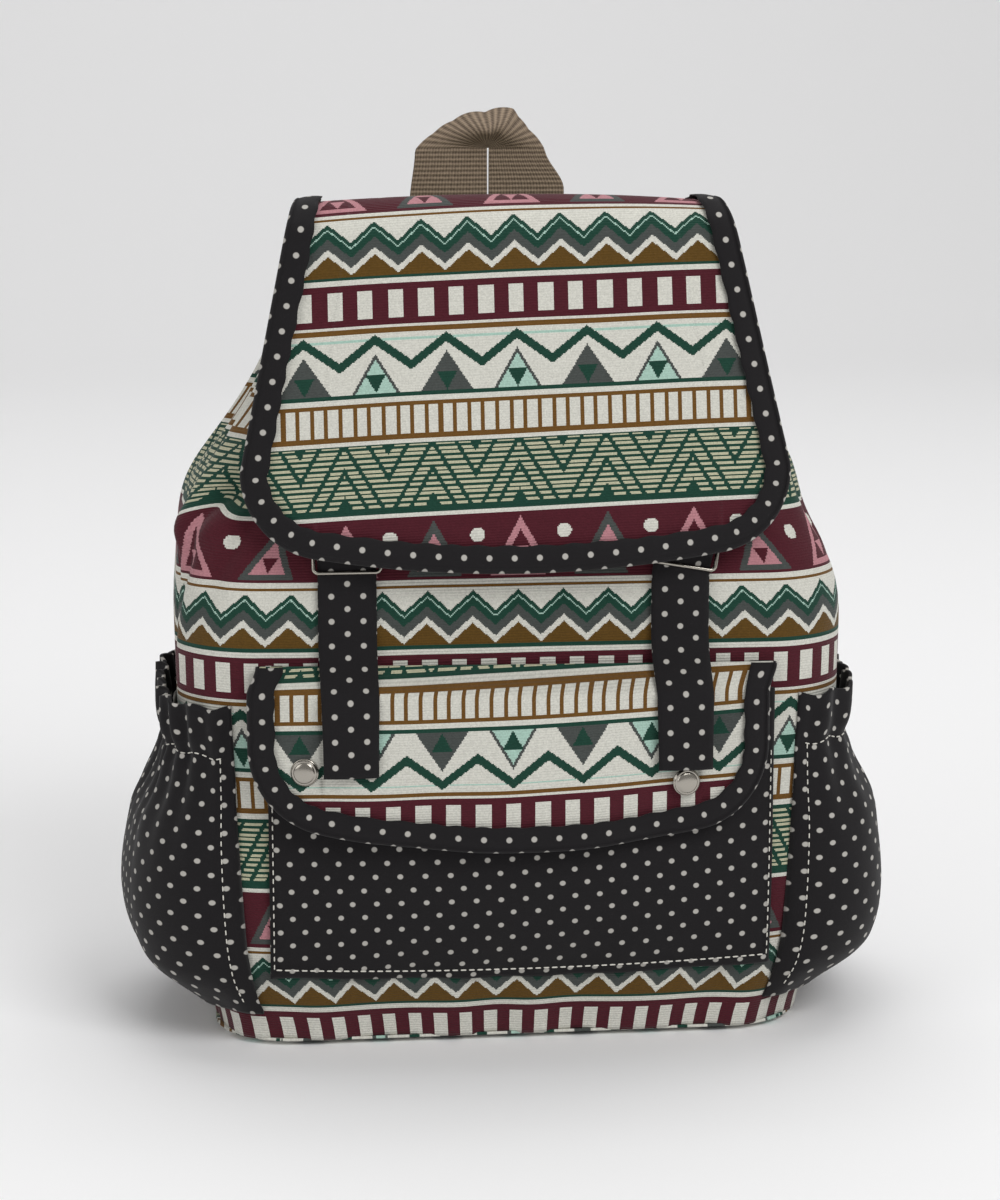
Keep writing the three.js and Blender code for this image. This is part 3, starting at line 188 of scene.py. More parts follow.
# Each row is one Math node: result, operation, inputs (an earlier result or a number)
DRAFT = [
    ("tu", "SNAP", "u", THREAD), ("tv", "SNAP", "v", THREAD), ("w", "FLOORED_MODULO", "tv", REPEAT),
    # dots and triangles on maroon, 0 to 24
    ("a_u", "PINGPONG", "tu", 18.0), ("a_far", "SUBTRACT", 18.0, "a_u"),
    ("a_kind", "PINGPONG", "tu", 36.0), ("a_pink", "LESS_THAN", "a_kind", 18.0),
    ("a_dy", "SUBTRACT", "w", 8.5), ("a_dy2", "MULTIPLY", "a_dy", "a_dy"),
    ("a_dx2", "MULTIPLY", "a_far", "a_far"), ("a_d2", "ADD", "a_dx2", "a_dy2"),
    ("a_dot", "LESS_THAN", "a_d2", 9.0), ("a_rise", "SUBTRACT", "w", 1.6),
    ("a_wide", "MULTIPLY", "a_rise", 0.56), ("a_in", "SUBTRACT", "a_wide", "a_u"),
    ("a_low", "LESS_THAN", "w", 22.6), ("a_tri0", "GREATER_THAN", "a_in", 0.0),
    ("a_tri", "MULTIPLY", "a_tri0", "a_low"), ("a_core0", "GREATER_THAN", "a_in", 3.0),
    ("a_core1", "LESS_THAN", "w", 20.4), ("a_core", "MULTIPLY", "a_core0", "a_core1"),
    ("a_drop0", "SUBTRACT", 20.2, "w"), ("a_drop1", "MULTIPLY", "a_drop0", 0.55),
    ("a_drop2", "GREATER_THAN", "a_drop1", "a_u"), ("a_drop3", "GREATER_THAN", "w", 14.2),
    ("a_drop", "MULTIPLY", "a_drop2", "a_drop3"),
    # small peaks, 27 to 54
    ("b_u", "PINGPONG", "tu", 9.6), ("b_slant", "MULTIPLY", "b_u", 0.85),
    ("b_y", "SUBTRACT", "w", 27.0), ("b_field", "SUBTRACT", "b_y", "b_slant"),
    ("b_ramp", "DIVIDE", "b_field", ZIGZAG), ("b_from", "GREATER_THAN", "w", 27.0),
    ("b_to", "LESS_THAN", "w", 51.8), ("b_band", "MULTIPLY", "b_from", "b_to"),
    ("b_base0", "GREATER_THAN", "w", 50.5), ("b_base", "MULTIPLY", "b_base0", "b_band"),
    # windows on maroon, 54 to 70.6
    ("c_u", "PINGPONG", "tu", 6.2), ("c_x", "LESS_THAN", "c_u", 3.1),
    ("c_y", "COMPARE", "w", 62.4, 5.9), ("c_win", "MULTIPLY", "c_x", "c_y"),
    # ridges with triangles, 74.1 to 100.8
    ("d_u", "PINGPONG", "tu", 14.6), ("d_slant", "MULTIPLY", "d_u", 0.75),
    ("d_y", "SUBTRACT", "w", 74.1), ("d_field", "SUBTRACT", "d_y", "d_slant"),
    ("d_ramp", "DIVIDE", "d_field", ZIGZAG), ("d_from", "GREATER_THAN", "w", 74.1),
    ("d_to", "LESS_THAN", "w", 100.8), ("d_band", "MULTIPLY", "d_from", "d_to"),
    ("d_fine0", "COMPARE", "d_y", 3.0, 0.35), ("d_fine1", "LESS_THAN", "d_field", 0.8),
    ("d_fine2", "MULTIPLY", "d_fine0", "d_fine1"), ("d_fine", "MULTIPLY", "d_fine2", "d_band"),
    ("d_kind", "PINGPONG", "tu", 29.2), ("d_teal", "LESS_THAN", "d_kind", 14.6),
    ("d_rise", "SUBTRACT", "d_y", 8.6), ("d_wide0", "MULTIPLY", "d_teal", -0.06),
    ("d_wide1", "ADD", "d_wide0", 0.66), ("d_wide", "MULTIPLY", "d_rise", "d_wide1"),
    ("d_in", "SUBTRACT", "d_wide", "d_u"), ("d_tri0", "GREATER_THAN", "d_in", 0.0),
    ("d_low", "LESS_THAN", "d_y", 25.0), ("d_tri1", "MULTIPLY", "d_tri0", "d_low"),
    ("d_tri", "MULTIPLY", "d_tri1", "d_band"), ("d_core0", "GREATER_THAN", "d_in", 1.5),
    ("d_core1", "MULTIPLY", "d_core0", "d_tri"), ("d_core", "MULTIPLY", "d_core1", "d_teal"),
    ("d_drop0", "SUBTRACT", 24.8, "d_y"), ("d_drop1", "MULTIPLY", "d_drop0", 0.56),
    ("d_drop2", "GREATER_THAN", "d_drop1", "d_u"), ("d_drop3", "GREATER_THAN", "d_y", 17.0),
    ("d_drop4", "MULTIPLY", "d_drop2", "d_drop3"), ("d_drop", "MULTIPLY", "d_drop4", "d_tri"),
    ("d_base0", "GREATER_THAN", "d_y", 25.0), ("d_base", "MULTIPLY", "d_base0", "d_band"),
    # ladder, 104.4 to 116.2
    ("e_u", "PINGPONG", "tu", 2.925), ("e_x", "LESS_THAN", "e_u", 2.1),
    ("e_y", "COMPARE", "w", 110.4, 5.6), ("e_rung", "MULTIPLY", "e_x", "e_y"),
    # chevrons in dashes, 119.4 to 148.2
    ("f_u", "PINGPONG", "tu", 18.0), ("f_slant", "MULTIPLY", "f_u", 1.7),
    ("f_y", "SUBTRACT", "w", 119.4), ("f_field", "SUBTRACT", "f_y", "f_slant"),
    ("f_up", "ADD", "f_field", 31.0), ("f_ramp", "DIVIDE", "f_up", CHEVRON),
    ("f_row", "PINGPONG", "f_y", 1.03), ("f_dash", "GREATER_THAN", "f_row", 0.5),
    ("f_low", "GREATER_THAN", "f_y", 1.2), ("f_high", "LESS_THAN", "f_y", 27.4),
    ("f_in0", "MULTIPLY", "f_low", "f_high"), ("f_in", "MULTIPLY", "f_in0", "f_dash"),
    ("f_from", "GREATER_THAN", "w", 119.4), ("f_to", "LESS_THAN", "w", 148.2),
    ("f_band", "MULTIPLY", "f_from", "f_to"), ("f_on", "MULTIPLY", "f_band", "f_in"),
    # masks that need their own band
    ("a_band", "LESS_THAN", "w", 24.0), ("a_dots", "MULTIPLY", "a_dot", "a_band"),
    ("a_edge", "MULTIPLY", "a_tri", "a_band"), ("a_inner", "MULTIPLY", "a_core", "a_edge"),
    ("a_tip", "MULTIPLY", "a_drop", "a_inner"),
]
print(len(DRAFT), "steps in the weaving draft,", len(GROUND), "stripes in a repeat of", REPEAT, "mm")

# %% Jacquard material
def jacquard(name):
    """Cloth woven from dyed yarns: matt, slightly ribbed, with stepped edges and flecked yarns."""
    material, tree, output = new_material(name)
    cloth_map = add_node(tree, "ShaderNodeUVMap", uv_map="cloth")
    split = add_node(tree, "ShaderNodeSeparateXYZ", {"Vector": cloth_map.outputs["UV"]})
    made = {"u": split.outputs["X"], "v": split.outputs["Y"]}
    for result, operation, *inputs in DRAFT:
        step = add_node(tree, "ShaderNodeMath", operation=operation)
        for place, value in enumerate(inputs):
            if isinstance(value, str):
                tree.links.new(made[value], step.inputs[place])
            else:
                step.inputs[place].default_value = value
        made[result] = step.outputs["Value"]
    depth = add_node(tree, "ShaderNodeMath", {0: made["w"], 1: REPEAT}, operation="DIVIDE")
    striped = {}              # colour ramps without blending, their stops in mm over a span in mm
    for mask, factor, stops, span in (
            ("ground", depth.outputs["Value"], GROUND, REPEAT), ("b_band", made["b_ramp"], PEAKS, ZIGZAG),
            ("d_band", made["d_ramp"], RIDGES, ZIGZAG), ("f_on", made["f_ramp"], CHEVRONS, CHEVRON)):
        ramp = add_node(tree, "ShaderNodeValToRGB", {"Fac": factor})
        ramp.color_ramp.interpolation = "CONSTANT"
        while len(ramp.color_ramp.elements) < len(stops):
            ramp.color_ramp.elements.new(1.0)
        for element, (at, yarn) in zip(ramp.color_ramp.elements, stops):
            element.position, element.color = at / span, linear(YARN[yarn])
        striped[mask] = ramp.outputs["Color"]
    colour = striped.pop("ground")
    layers = [
        *striped.items(), ("b_base", "green"), ("c_win", "cream"), ("d_fine", "teal"), ("d_tri", "slate"),
        ("d_core", "teal"), ("d_drop", "green"), ("d_base", "green"), ("e_rung", "cream"),
        ("a_dots", "cream"), ("a_edge", "slate"), ("a_inner", "pink"), ("a_tip", "maroon"),
    ]
    for mask, paint in layers:
        mix = add_node(tree, "ShaderNodeMix", {"Factor": made[mask], 6: colour}, data_type="RGBA")
        if isinstance(paint, str):
            mix.inputs[7].default_value = linear(YARN[paint])
        else:
            tree.links.new(paint, mix.inputs[7])
        colour = mix.outputs[2]
    # every second triangle swaps its two yarns: pink outside, maroon inside
    for mask, yarn in (("a_edge", "pink"), ("a_inner", "maroon"), ("a_tip", "pink")):
        swap = add_node(tree, "ShaderNodeMath", {0: made[mask], 1: made["a_pink"]}, operation="MULTIPLY")
        mix = add_node(tree, "ShaderNodeMix", {"Factor": swap.outputs[0], 6: colour}, data_type="RGBA")
        mix.inputs[7].default_value = linear(YARN[yarn])
        colour = mix.outputs[2]
    # single threads differ: light flecks in dark yarn and dark ones in light yarn
    threads = add_node(tree, "ShaderNodeCombineXYZ", {"X": made["tu"], "Y": made["tv"]})
    fleck = add_node(tree, "ShaderNodeTexWhiteNoise", {"Vector": threads.outputs[0]}, noise_dimensions="2D")
    fade = add_node(tree, "ShaderNodeMapRange", {
        "Value": fleck.outputs["Value"], "To Min": 0.9, "To Max": 1.08})
    flecked = add_node(tree, "ShaderNodeVectorMath", {0: colour, "Scale": fade.outputs[0]}, operation="SCALE")
    rib = add_node(tree, "ShaderNodeMath", {0: made["v"], 1: 6.2832 / 1.1}, operation="MULTIPLY")
    wave = add_node(tree, "ShaderNodeMath", {0: rib.outputs[0]}, operation="SINE")
    slub = add_node(tree, "ShaderNodeTexNoise", {
        "Vector": cloth_map.outputs["UV"], "Scale": 0.9, "Detail": 2.0})
    height = add_node(tree, "ShaderNodeMath", {0: slub.outputs[0], 1: 2.2, 2: wave.outputs[0]},
                      operation="MULTIPLY_ADD")
    bump = add_node(tree, "ShaderNodeBump", {
        "Strength": 0.35, "Distance": 0.0003, "Height": height.outputs[0]})
    shader = add_node(tree, "ShaderNodeBsdfPrincipled", {
        "Base Color": flecked.outputs[0], "Roughness": 0.92, "Specular IOR Level": 0.15,
        "Sheen Weight": 0.12, "Normal": bump.outputs[0]})
    tree.links.new(shader.outputs[0], output.inputs["Surface"])
    return material


JACQUARD = jacquard("woven_jacquard")
print("jacquard nodes:", len(JACQUARD.node_tree.nodes))

# %% [markdown]
# ## Dotted cotton, ribbed webbing, elastic, nickel and nylon
# The pockets, bindings and flat straps are cut from a printed cotton: small pale dots, each row
# set between the dots of the row before. Webbing is woven narrow, with firm ribs straight across it.
# The metal is nickel plate, bright but soft, and the adjusters are moulded nylon.

# %% The other materials
DOT_STEP = (5.2, 6.5)      # mm across and down from a dot to the next one, half a row on
DOT_EDGE = (1.38, 1.02)    # mm from a dot's middle, where its soft edge ends and starts


def dotted_cotton(name):
    """Printed plain-weave cotton: near-black ground, small pale dots with slightly soft edges."""
    material, tree, output = new_material(name)
    cloth_map = add_node(tree, "ShaderNodeUVMap", uv_map="cloth")
    split = add_node(tree, "ShaderNodeSeparateXYZ", {"Vector": cloth_map.outputs["UV"]})
    near_u = add_node(tree, "ShaderNodeMath", {0: split.outputs["X"], 1: DOT_STEP[0]},
                      operation="PINGPONG").outputs[0]
    near_v = add_node(tree, "ShaderNodeMath", {0: split.outputs["Y"], 1: DOT_STEP[1]},
                      operation="PINGPONG").outputs[0]
    here = add_node(tree, "ShaderNodeCombineXYZ", {"X": near_u, "Y": near_v}).outputs[0]
    first = add_node(tree, "ShaderNodeVectorMath", {0: here}, operation="LENGTH").outputs["Value"]
    other = add_node(tree, "ShaderNodeVectorMath", {0: here, 1: (*DOT_STEP, 0)},
                     operation="DISTANCE").outputs["Value"]
    nearest = add_node(tree, "ShaderNodeMath", {0: first, 1: other}, operation="MINIMUM").outputs[0]
    dot = add_node(tree, "ShaderNodeMapRange", {
        "Value": nearest, "From Min": DOT_EDGE[0], "From Max": DOT_EDGE[1]}).outputs[0]
    ink = add_node(tree, "ShaderNodeMix", {"Factor": dot, 6: linear("#191719"), 7: linear("#b3b0aa")},
                   data_type="RGBA")
    weave = add_node(tree, "ShaderNodeTexNoise", {
        "Vector": cloth_map.outputs["UV"], "Scale": 1.6, "Detail": 3.0})
    bump = add_node(tree, "ShaderNodeBump", {
        "Strength": 0.25, "Distance": 0.0003, "Height": weave.outputs[0]})
    shader = add_node(tree, "ShaderNodeBsdfPrincipled", {
        "Base Color": ink.outputs[2], "Roughness": 0.85, "Specular IOR Level": 0.2, "Sheen Weight": 0.08,
        "Normal": bump.outputs[0]})
    tree.links.new(shader.outputs[0], output.inputs["Surface"])
    return material


def ribbed(name, light, dark, rib, depth):
    """Narrow woven tape: ribs straight across it, with painted shade darkening the colour in its hollows, and
    a dry sheen.
    """
    material, tree, output = new_material(name)
    cloth_map = add_node(tree, "ShaderNodeUVMap", uv_map="cloth")
    split = add_node(tree, "ShaderNodeSeparateXYZ", {"Vector": cloth_map.outputs["UV"]})
    along = add_node(tree, "ShaderNodeMath", {0: split.outputs["Y"], 1: 6.2832 / rib}, operation="MULTIPLY")
    ribs = add_node(tree, "ShaderNodeMath", {0: along.outputs[0]}, operation="SINE").outputs[0]
    across = add_node(tree, "ShaderNodeMath", {0: split.outputs["X"], 1: 6.2832 / 1.3}, operation="MULTIPLY")
    picks = add_node(tree, "ShaderNodeMath", {0: across.outputs[0]}, operation="SINE").outputs[0]
    height = add_node(tree, "ShaderNodeMath", {0: picks, 1: 0.5, 2: ribs},
                      operation="MULTIPLY_ADD").outputs[0]
    grain = add_node(tree, "ShaderNodeTexNoise", {
        "Vector": cloth_map.outputs["UV"], "Scale": 0.7, "Detail": 3.0})
    uneven = add_node(tree, "ShaderNodeMath", {0: grain.outputs[0], 1: 2.4, 2: height},
                      operation="MULTIPLY_ADD").outputs[0]
    # painted shade: the colour goes from the dark colour in the rib hollows to the light one on the ridges,
    # mixed with the real uneven grain of the yarn
    rib_shade_and_grain = add_node(tree, "ShaderNodeMapRange", {
        "Value": uneven, "From Min": -0.4, "From Max": 2.6}).outputs[0]
    colour = add_node(tree, "ShaderNodeMix", {"Factor": rib_shade_and_grain, 6: linear(dark), 7: linear(light)},
                      data_type="RGBA")
    bump = add_node(tree, "ShaderNodeBump", {"Strength": 0.5, "Distance": depth, "Height": height})
    shader = add_node(tree, "ShaderNodeBsdfPrincipled", {
        "Base Color": colour.outputs[2], "Roughness": 0.8, "Specular IOR Level": 0.2,
        "Normal": bump.outputs[0]})
    tree.links.new(shader.outputs[0], output.inputs["Surface"])
    return material


def plain(name, hex_colour, **inputs):
    """One even colour on a principled shader, for metal, moulded nylon and sewing thread."""
    material, tree, output = new_material(name)
    shader = add_node(tree, "ShaderNodeBsdfPrincipled", {"Base Color": linear(hex_colour), **inputs})
    tree.links.new(shader.outputs[0], output.inputs["Surface"])
    return material


COTTON = dotted_cotton("dotted_cotton")
# the second colour of each tape is the painted shade of its rib hollows
WEBBING = ribbed("ribbed_webbing", "#9c8a76", "#54473c", 2.0, 0.0004)
ELASTIC = ribbed("woven_elastic", "#d2cfc8", "#8f8c86", 1.2, 0.0003)
NICKEL = plain("nickel_plate", "#a9a49b", Metallic=1.0, Roughness=0.2)
NYLON = plain("moulded_nylon", "#17171a", Roughness=0.42)
SEWING = plain("cotton_thread", "#d8d5cc", Roughness=0.8)

# %% [markdown]
# ## From a grid of points to a piece of cloth
# A sewn panel is a grid: rows down the cloth and columns across it. Rows run down and columns
# run to the right when the cloth is seen from outside.

# %% Helpers for grids
def grid_normals(points):
    """Outward unit normals of a grid of points, rows down and columns right."""
    down, right = np.gradient(points, axis=0), np.gradient(points, axis=1)
    normal = np.cross(down, right)
    return normal / np.maximum(np.linalg.norm(normal, axis=2, keepdims=True), 1e-9)


def mesh_object(name, points, faces, maps, material):
    """A smooth mesh object from points in mm, with its cloth map in mm."""
    mesh = bpy.data.meshes.new(name)
    mesh.from_pydata((np.asarray(points) * MM).tolist(), [], faces)
    layer = mesh.uv_layers.new(name="cloth")
    corner = np.empty(len(mesh.loops), dtype=np.int32)
    mesh.loops.foreach_get("vertex_index", corner)
    layer.data.foreach_set("uv", np.asarray(maps, dtype=np.float32)[corner].ravel())
    mesh.polygons.foreach_set("use_smooth", [True] * len(mesh.polygons))
    mesh.materials.append(material)
    piece = bpy.data.objects.new(name, mesh)
    bpy.context.scene.collection.objects.link(piece)
    return piece


def shell(name, points, maps, thick, material, ring=False):
    """A closed sheet: the grid as its outer face and a copy, set in by its thickness, as its inner."""
    rows, columns = points.shape[:2]
    inner = points - thick * grid_normals(points)
    if ring:
        inner[:, -1] = inner[:, 0] = (inner[:, 0] + inner[:, -1]) / 2
    both = np.concatenate([points.reshape(-1, 3), inner.reshape(-1, 3)])
    both_maps = np.concatenate([maps.reshape(-1, 2)] * 2)
    number = np.arange(rows * columns).reshape(rows, columns)
    a, b, c, d = number[:-1, :-1], number[1:, :-1], number[1:, 1:], number[:-1, 1:]
    outside = np.stack([a, b, c, d], axis=-1).reshape(-1, 4)
    inside = outside[:, ::-1] + rows * columns
    rim = np.concatenate([number[:, 0], number[-1, 1:], number[-2::-1, -1], number[0, -2:0:-1]])
    after = np.roll(rim, -1)
    edge = np.stack([after, rim, rim + rows * columns, after + rows * columns], axis=-1)
    return mesh_object(name, both, np.concatenate([outside, inside, edge]).tolist(), both_maps, material)


def flat_size(maps):
    """Flat width, length and cut area of a panel, from its cloth map, in metres."""
    low, high = maps.reshape(-1, 2).min(axis=0), maps.reshape(-1, 2).max(axis=0)
    a, b, c, d = maps[:-1, :-1], maps[1:, :-1], maps[1:, 1:], maps[:-1, 1:]
    ac, bd = c - a, d - b
    area = np.abs(ac[..., 0] * bd[..., 1] - ac[..., 1] * bd[..., 0]).sum() / 2
    return (high[0] - low[0]) * MM, (high[1] - low[1]) * MM, area * MM * MM


def sew(name, points, maps, thick, material, held, ring=False):
    """Makes a sheet, seats it on the bag in place of its CAD node and prints its flat size."""
    piece = shell("sewn_" + name, points, maps, thick, material, ring)
    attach(piece, "bag")
    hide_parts(name)
    wide, long, area = flat_size(maps)
    area = min(area, wide * long)
    print(f"{name}: flat {wide / MM:.0f} x {long / MM:.0f} mm, {held}")
    return piece


def node_points(name):
    """The vertices of a CAD node, in mm."""
    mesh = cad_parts[name].data
    flat = np.empty(len(mesh.vertices) * 3, dtype=np.float32)
    mesh.vertices.foreach_get("co", flat)
    return flat.reshape(-1, 3).astype(float) / MM


def run_length(points):
    """The length along a row of points, up to each of them."""
    return np.concatenate([[0], np.cumsum(np.linalg.norm(np.diff(points, axis=0), axis=1))])


def unit(rows):
    return rows / np.linalg.norm(rows, axis=1, keepdims=True)


def keep_cad(node, material):
    """Gives its material to a CAD node that keeps its shape."""
    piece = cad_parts[node]
    piece.data.materials.clear()
    piece.data.materials.append(material)
    return piece


def smooth_step(value, start, end):
    t = np.clip((value - start) / (end - start), 0, 1)
    return t * t * (3 - 2 * t)


def hump(value, centre, width):
    return np.exp(-((value - centre) / width) ** 2)


def wobble(*coordinates, seed=0):
    """Soft uneven waves between -1 and 1 that never repeat neatly, for handled cloth."""
    total = 0.0
    for k in range(4):
        turn = 0.9 * seed + 2.1 * k
        total = total + sum(np.sin(c * (0.031 + 0.023 * k) * (1 + 0.17 * i) + turn * (1 + i))
                            for i, c in enumerate(coordinates)) / (1 + 0.6 * k)
    return total / 4.5


def capped_faces(rows, sides, start=0):
    """Faces of a closed section with a given number of sides, swept through rows and capped."""
    faces = []
    for i in range(rows - 1):
        here, there = start + i * sides, start + (i + 1) * sides
        for j in range(sides):
            after = (j + 1) % sides
            faces.append((here + j, here + after, there + after, there + j))
    last = start + (rows - 1) * sides
    return faces + [tuple(range(start, start + sides))[::-1], tuple(range(last, last + sides))]


print("grid helpers ready")

# %% [markdown]
# ## The body
# The body is four panels sewn at the corners, filled out below and drawn in at the mouth. A
# distance round the bag, measured at its widest, names every place on it, so the bands of the
# cloth run on from panel to panel. The section at each height is measured from the CAD panels.
# Soft filling is added as outward swell, gathers as ripples that grow toward the mouth.

# %% Measure the body
CORNER = 34.0                     # mm, corner radius of the section
front_points, back_points = node_points("front_panel"), node_points("back_panel")
side_points = node_points("right_side_panel")
levels = np.unique(np.round(front_points[:, 2], 1))
front_at_level = np.array([-front_points[np.abs(front_points[:, 2] - z) < 0.3, 1].min() for z in levels])
back_at_level = np.array([back_points[np.abs(back_points[:, 2] - z) < 0.3, 1].max() for z in levels])
half_at_level = np.array([side_points[np.abs(side_points[:, 2] - z) < 0.3, 0].max() for z in levels])


def at_level(values, z):
    """A measured section size at any height, with the straight steps between rows eased."""
    z = np.asarray(z, dtype=float)
    return sum(np.interp(z + d, levels, values) for d in (-14, -7, 0, 7, 14)) / 5


WIDE = half_at_level.max()
FRONT_HALF = WIDE - CORNER                                   # flat of the front, from its middle
ROUND = CORNER * math.pi / 2                                 # cloth round one corner
SIDE = front_at_level.max() + back_at_level.max() - 2 * CORNER
FRONT_END, SIDE_START, SIDE_END = FRONT_HALF, FRONT_HALF + ROUND, FRONT_HALF + ROUND + SIDE
BACK_START, BACK_MIDDLE = SIDE_END + ROUND, SIDE_END + ROUND + FRONT_HALF


def skin(around, z, out=0.0):
    """Points on the body: distance round it from the front middle, height, and distance out."""
    around, z, out = np.broadcast_arrays(*[np.asarray(value, float) for value in (around, z, out)])
    side = np.where(around < 0, -1.0, 1.0)
    s = np.abs(around)
    half, front, behind = at_level(half_at_level, z), at_level(front_at_level, z), at_level(back_at_level, z)
    flat = np.clip(s / FRONT_END, 0, 1)
    turn_front = np.clip((s - FRONT_END) / ROUND, 0, 1) * math.pi / 2
    run = np.clip((s - SIDE_START) / SIDE, 0, 1)
    turn_back = np.clip((s - SIDE_END) / ROUND, 0, 1) * math.pi / 2
    back_flat = np.clip((s - BACK_START) / FRONT_HALF, 0, 1)
    x = (half - CORNER) * (flat - back_flat) + (CORNER + out) * np.sin(turn_front) * np.where(
        s > SIDE_END, np.cos(turn_back), 1)
    y = -(front - CORNER) - (CORNER + out) * np.cos(turn_front)
    y = y + run * (front + behind - 2 * CORNER)
    y = y + np.where(s > SIDE_END, (CORNER + out) * np.sin(turn_back), 0)
    return np.stack([side * x, y, z], axis=-1)


FOOT, MOUTH = levels[0], levels[-1]
rise = np.linspace(FOOT, MOUTH, 141)
slope = np.hypot(np.diff(rise), np.diff(at_level(front_at_level, rise)))
slope_length = np.concatenate([[0], np.cumsum(slope)])
HEM_LEVEL = 206.0                                            # mm, a band edge seen beside the flap hem
BAND_AT_HEM = 19.5                                           # mm into the repeat there
WEAVE = 0.985                                                # mm of bag for a mm of pattern
BODY_STRETCH = 1.03                                          # the same down the filled body


def band_at(z):
    """How far down the jacquard repeat the body cloth is at a height."""
    hem = np.interp(HEM_LEVEL, rise, slope_length)
    return BAND_AT_HEM + (hem - np.interp(z, rise, slope_length)) / BODY_STRETCH


print(f"body half width {WIDE:.1f}, side {SIDE:.1f}, cloth round half the bag {BACK_MIDDLE:.1f} mm")

# %% Swell, gathers and creases
def body_swell(around, z):
    """How far the filled body stands out from its CAD section."""
    left = smooth_step(-around, 60, 170) * smooth_step(BACK_MIDDLE + around, 0, 120)
    right = smooth_step(around, 60, 170) * smooth_step(BACK_MIDDLE - around, 0, 120)
    out = 7.0 * hump(z, 234, 26) * left - 4.0 * hump(z, 222, 16) * right
    drawn = smooth_step(z, 205, 300)
    pleats = np.sin(around / 5.1 + 1.3 * np.sin(around / 31)) + 0.5 * np.sin(around / 2.9 + z / 40)
    out = out + drawn * (2.8 * pleats - 1.6)
    foot = 1 - smooth_step(z, 4, 60)
    out = out + foot * (1.2 * np.sin(around / 7.7 + np.sin(around / 19)) - 0.6)
    crease = -171 + 12 * np.sin((z - 120) / 60)
    out = out - 6.5 * hump(around, crease, 5.5) * hump(z, 228, 32)
    out = out + 3.6 * hump(around, crease + 11, 6) * hump(z, 230, 30)
    out = out - 5.0 * hump(around, -148 + (z - 200) * 0.3, 4.5) * hump(z, 214, 30)
    out = out - 3.2 * hump(around, -128 + (z - 200) * 0.35, 5.0) * hump(z, 222, 26)
    out = out - 4.2 * hump(around, 158 - (z - 200) * 0.3, 5.5) * hump(z, 216, 28)
    out = out - 10.0 * hump(around, -126, 13) * hump(z, 237 + 0.15 * (around + 126), 6)
    out = out + 4.0 * hump(around, -140, 16) * hump(z, 221, 9)
    return out + 1.3 * wobble(around, z, seed=3) * smooth_step(z, 0, 40)


def body_panel(name, start, end, columns):
    around, z = np.meshgrid(np.linspace(start, end, columns), np.linspace(MOUTH, FOOT, 150))
    seam = np.minimum(np.abs(around - start), np.abs(around - end))
    out = body_swell(around, z) - 1.3 * hump(seam, 0, 2.6)
    buckle = 4.5 * hump(around, -138, 9) * hump(z, 226, 12) - 2.5 * hump(around, -155, 8) * hump(z, 222, 12)
    maps = np.stack([around / WEAVE, band_at(z) + buckle + 0.5 * wobble(around, z, seed=8)], axis=-1)
    return sew(name, skin(around, z, out), maps, 1.4, JACQUARD, "gathered")


body_panel("front_panel", -SIDE_START, SIDE_START, 190)
body_panel("right_side_panel", SIDE_START, SIDE_END, 44)
body_panel("left_side_panel", -SIDE_END, -SIDE_START, 44)


def back_panel():
    """The back lies behind both sides, so its columns run on past the back middle."""
    around, z = np.meshgrid(np.linspace(SIDE_END, 2 * BACK_MIDDLE - SIDE_END, 150),
                            np.linspace(MOUTH, FOOT, 150))
    wrapped = np.where(around > BACK_MIDDLE, around - 2 * BACK_MIDDLE, around)
    seam = np.minimum(np.abs(around - around.min()), np.abs(around - around.max()))
    out = body_swell(wrapped, z) * 0.5 - 1.3 * hump(seam, 0, 2.6)
    maps = np.stack([around / WEAVE, band_at(z)], axis=-1)
    return sew("back_panel", skin(wrapped, z, out), maps, 1.4, JACQUARD, "gathered")


back_panel()


def base_panel():
    """A flat panel with its edge turned up into the walls."""
    around, share = np.meshgrid(np.linspace(-BACK_MIDDLE + 0.01, BACK_MIDDLE - 0.01, 161),
                                np.linspace(0.03, 1, 14))
    points = skin(around, FOOT) * share[..., None] ** [1, 1, 0]
    points[..., 2] = 0.4 + 1.8 * smooth_step(share, 0.9, 1.0)
    maps = points[..., :2] / WEAVE
    return sew("base_panel", points[:, ::-1], maps[:, ::-1], 1.2, JACQUARD, "laid")


base_panel()

# %% [markdown]
# ## Mouth hem and flap
# The mouth is a folded hem, ruffled by the cloth gathered under it. The flap is one panel: sewn
# up the back, bent over the mouth and hung down the front, wider below, with round corners and a
# hem that bows down a little. Its grid runs from the back seam to the hem line, so its rows bend
# with the hem. Where it hangs free it puffs forward and its edge waves.

# %% Mouth hem
def mouth_hem():
    low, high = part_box("mouth_hem")
    around, z = np.meshgrid(np.linspace(-BACK_MIDDLE, BACK_MIDDLE, 361),
                            np.linspace(high.z / MM, low.z / MM, 12))
    top = MOUTH - 1.0
    out = 0.4 + 1.1 * np.sin(around / 4.3 + np.sin(around / 37)) * smooth_step(z, low.z / MM - 4, high.z / MM)
    points = skin(around, np.full_like(z, top), out)
    sunk = 5.0 * smooth_step(np.abs(around), SIDE_START, BACK_START)    # lower under the flap at the back
    points[..., 2] = z + 0.9 * np.sin(around / 9.1) - sunk
    maps = np.stack([around, z], axis=-1)
    return sew("mouth_hem", points, maps, 2.4, JACQUARD, "gathered", ring=True)


mouth_hem()

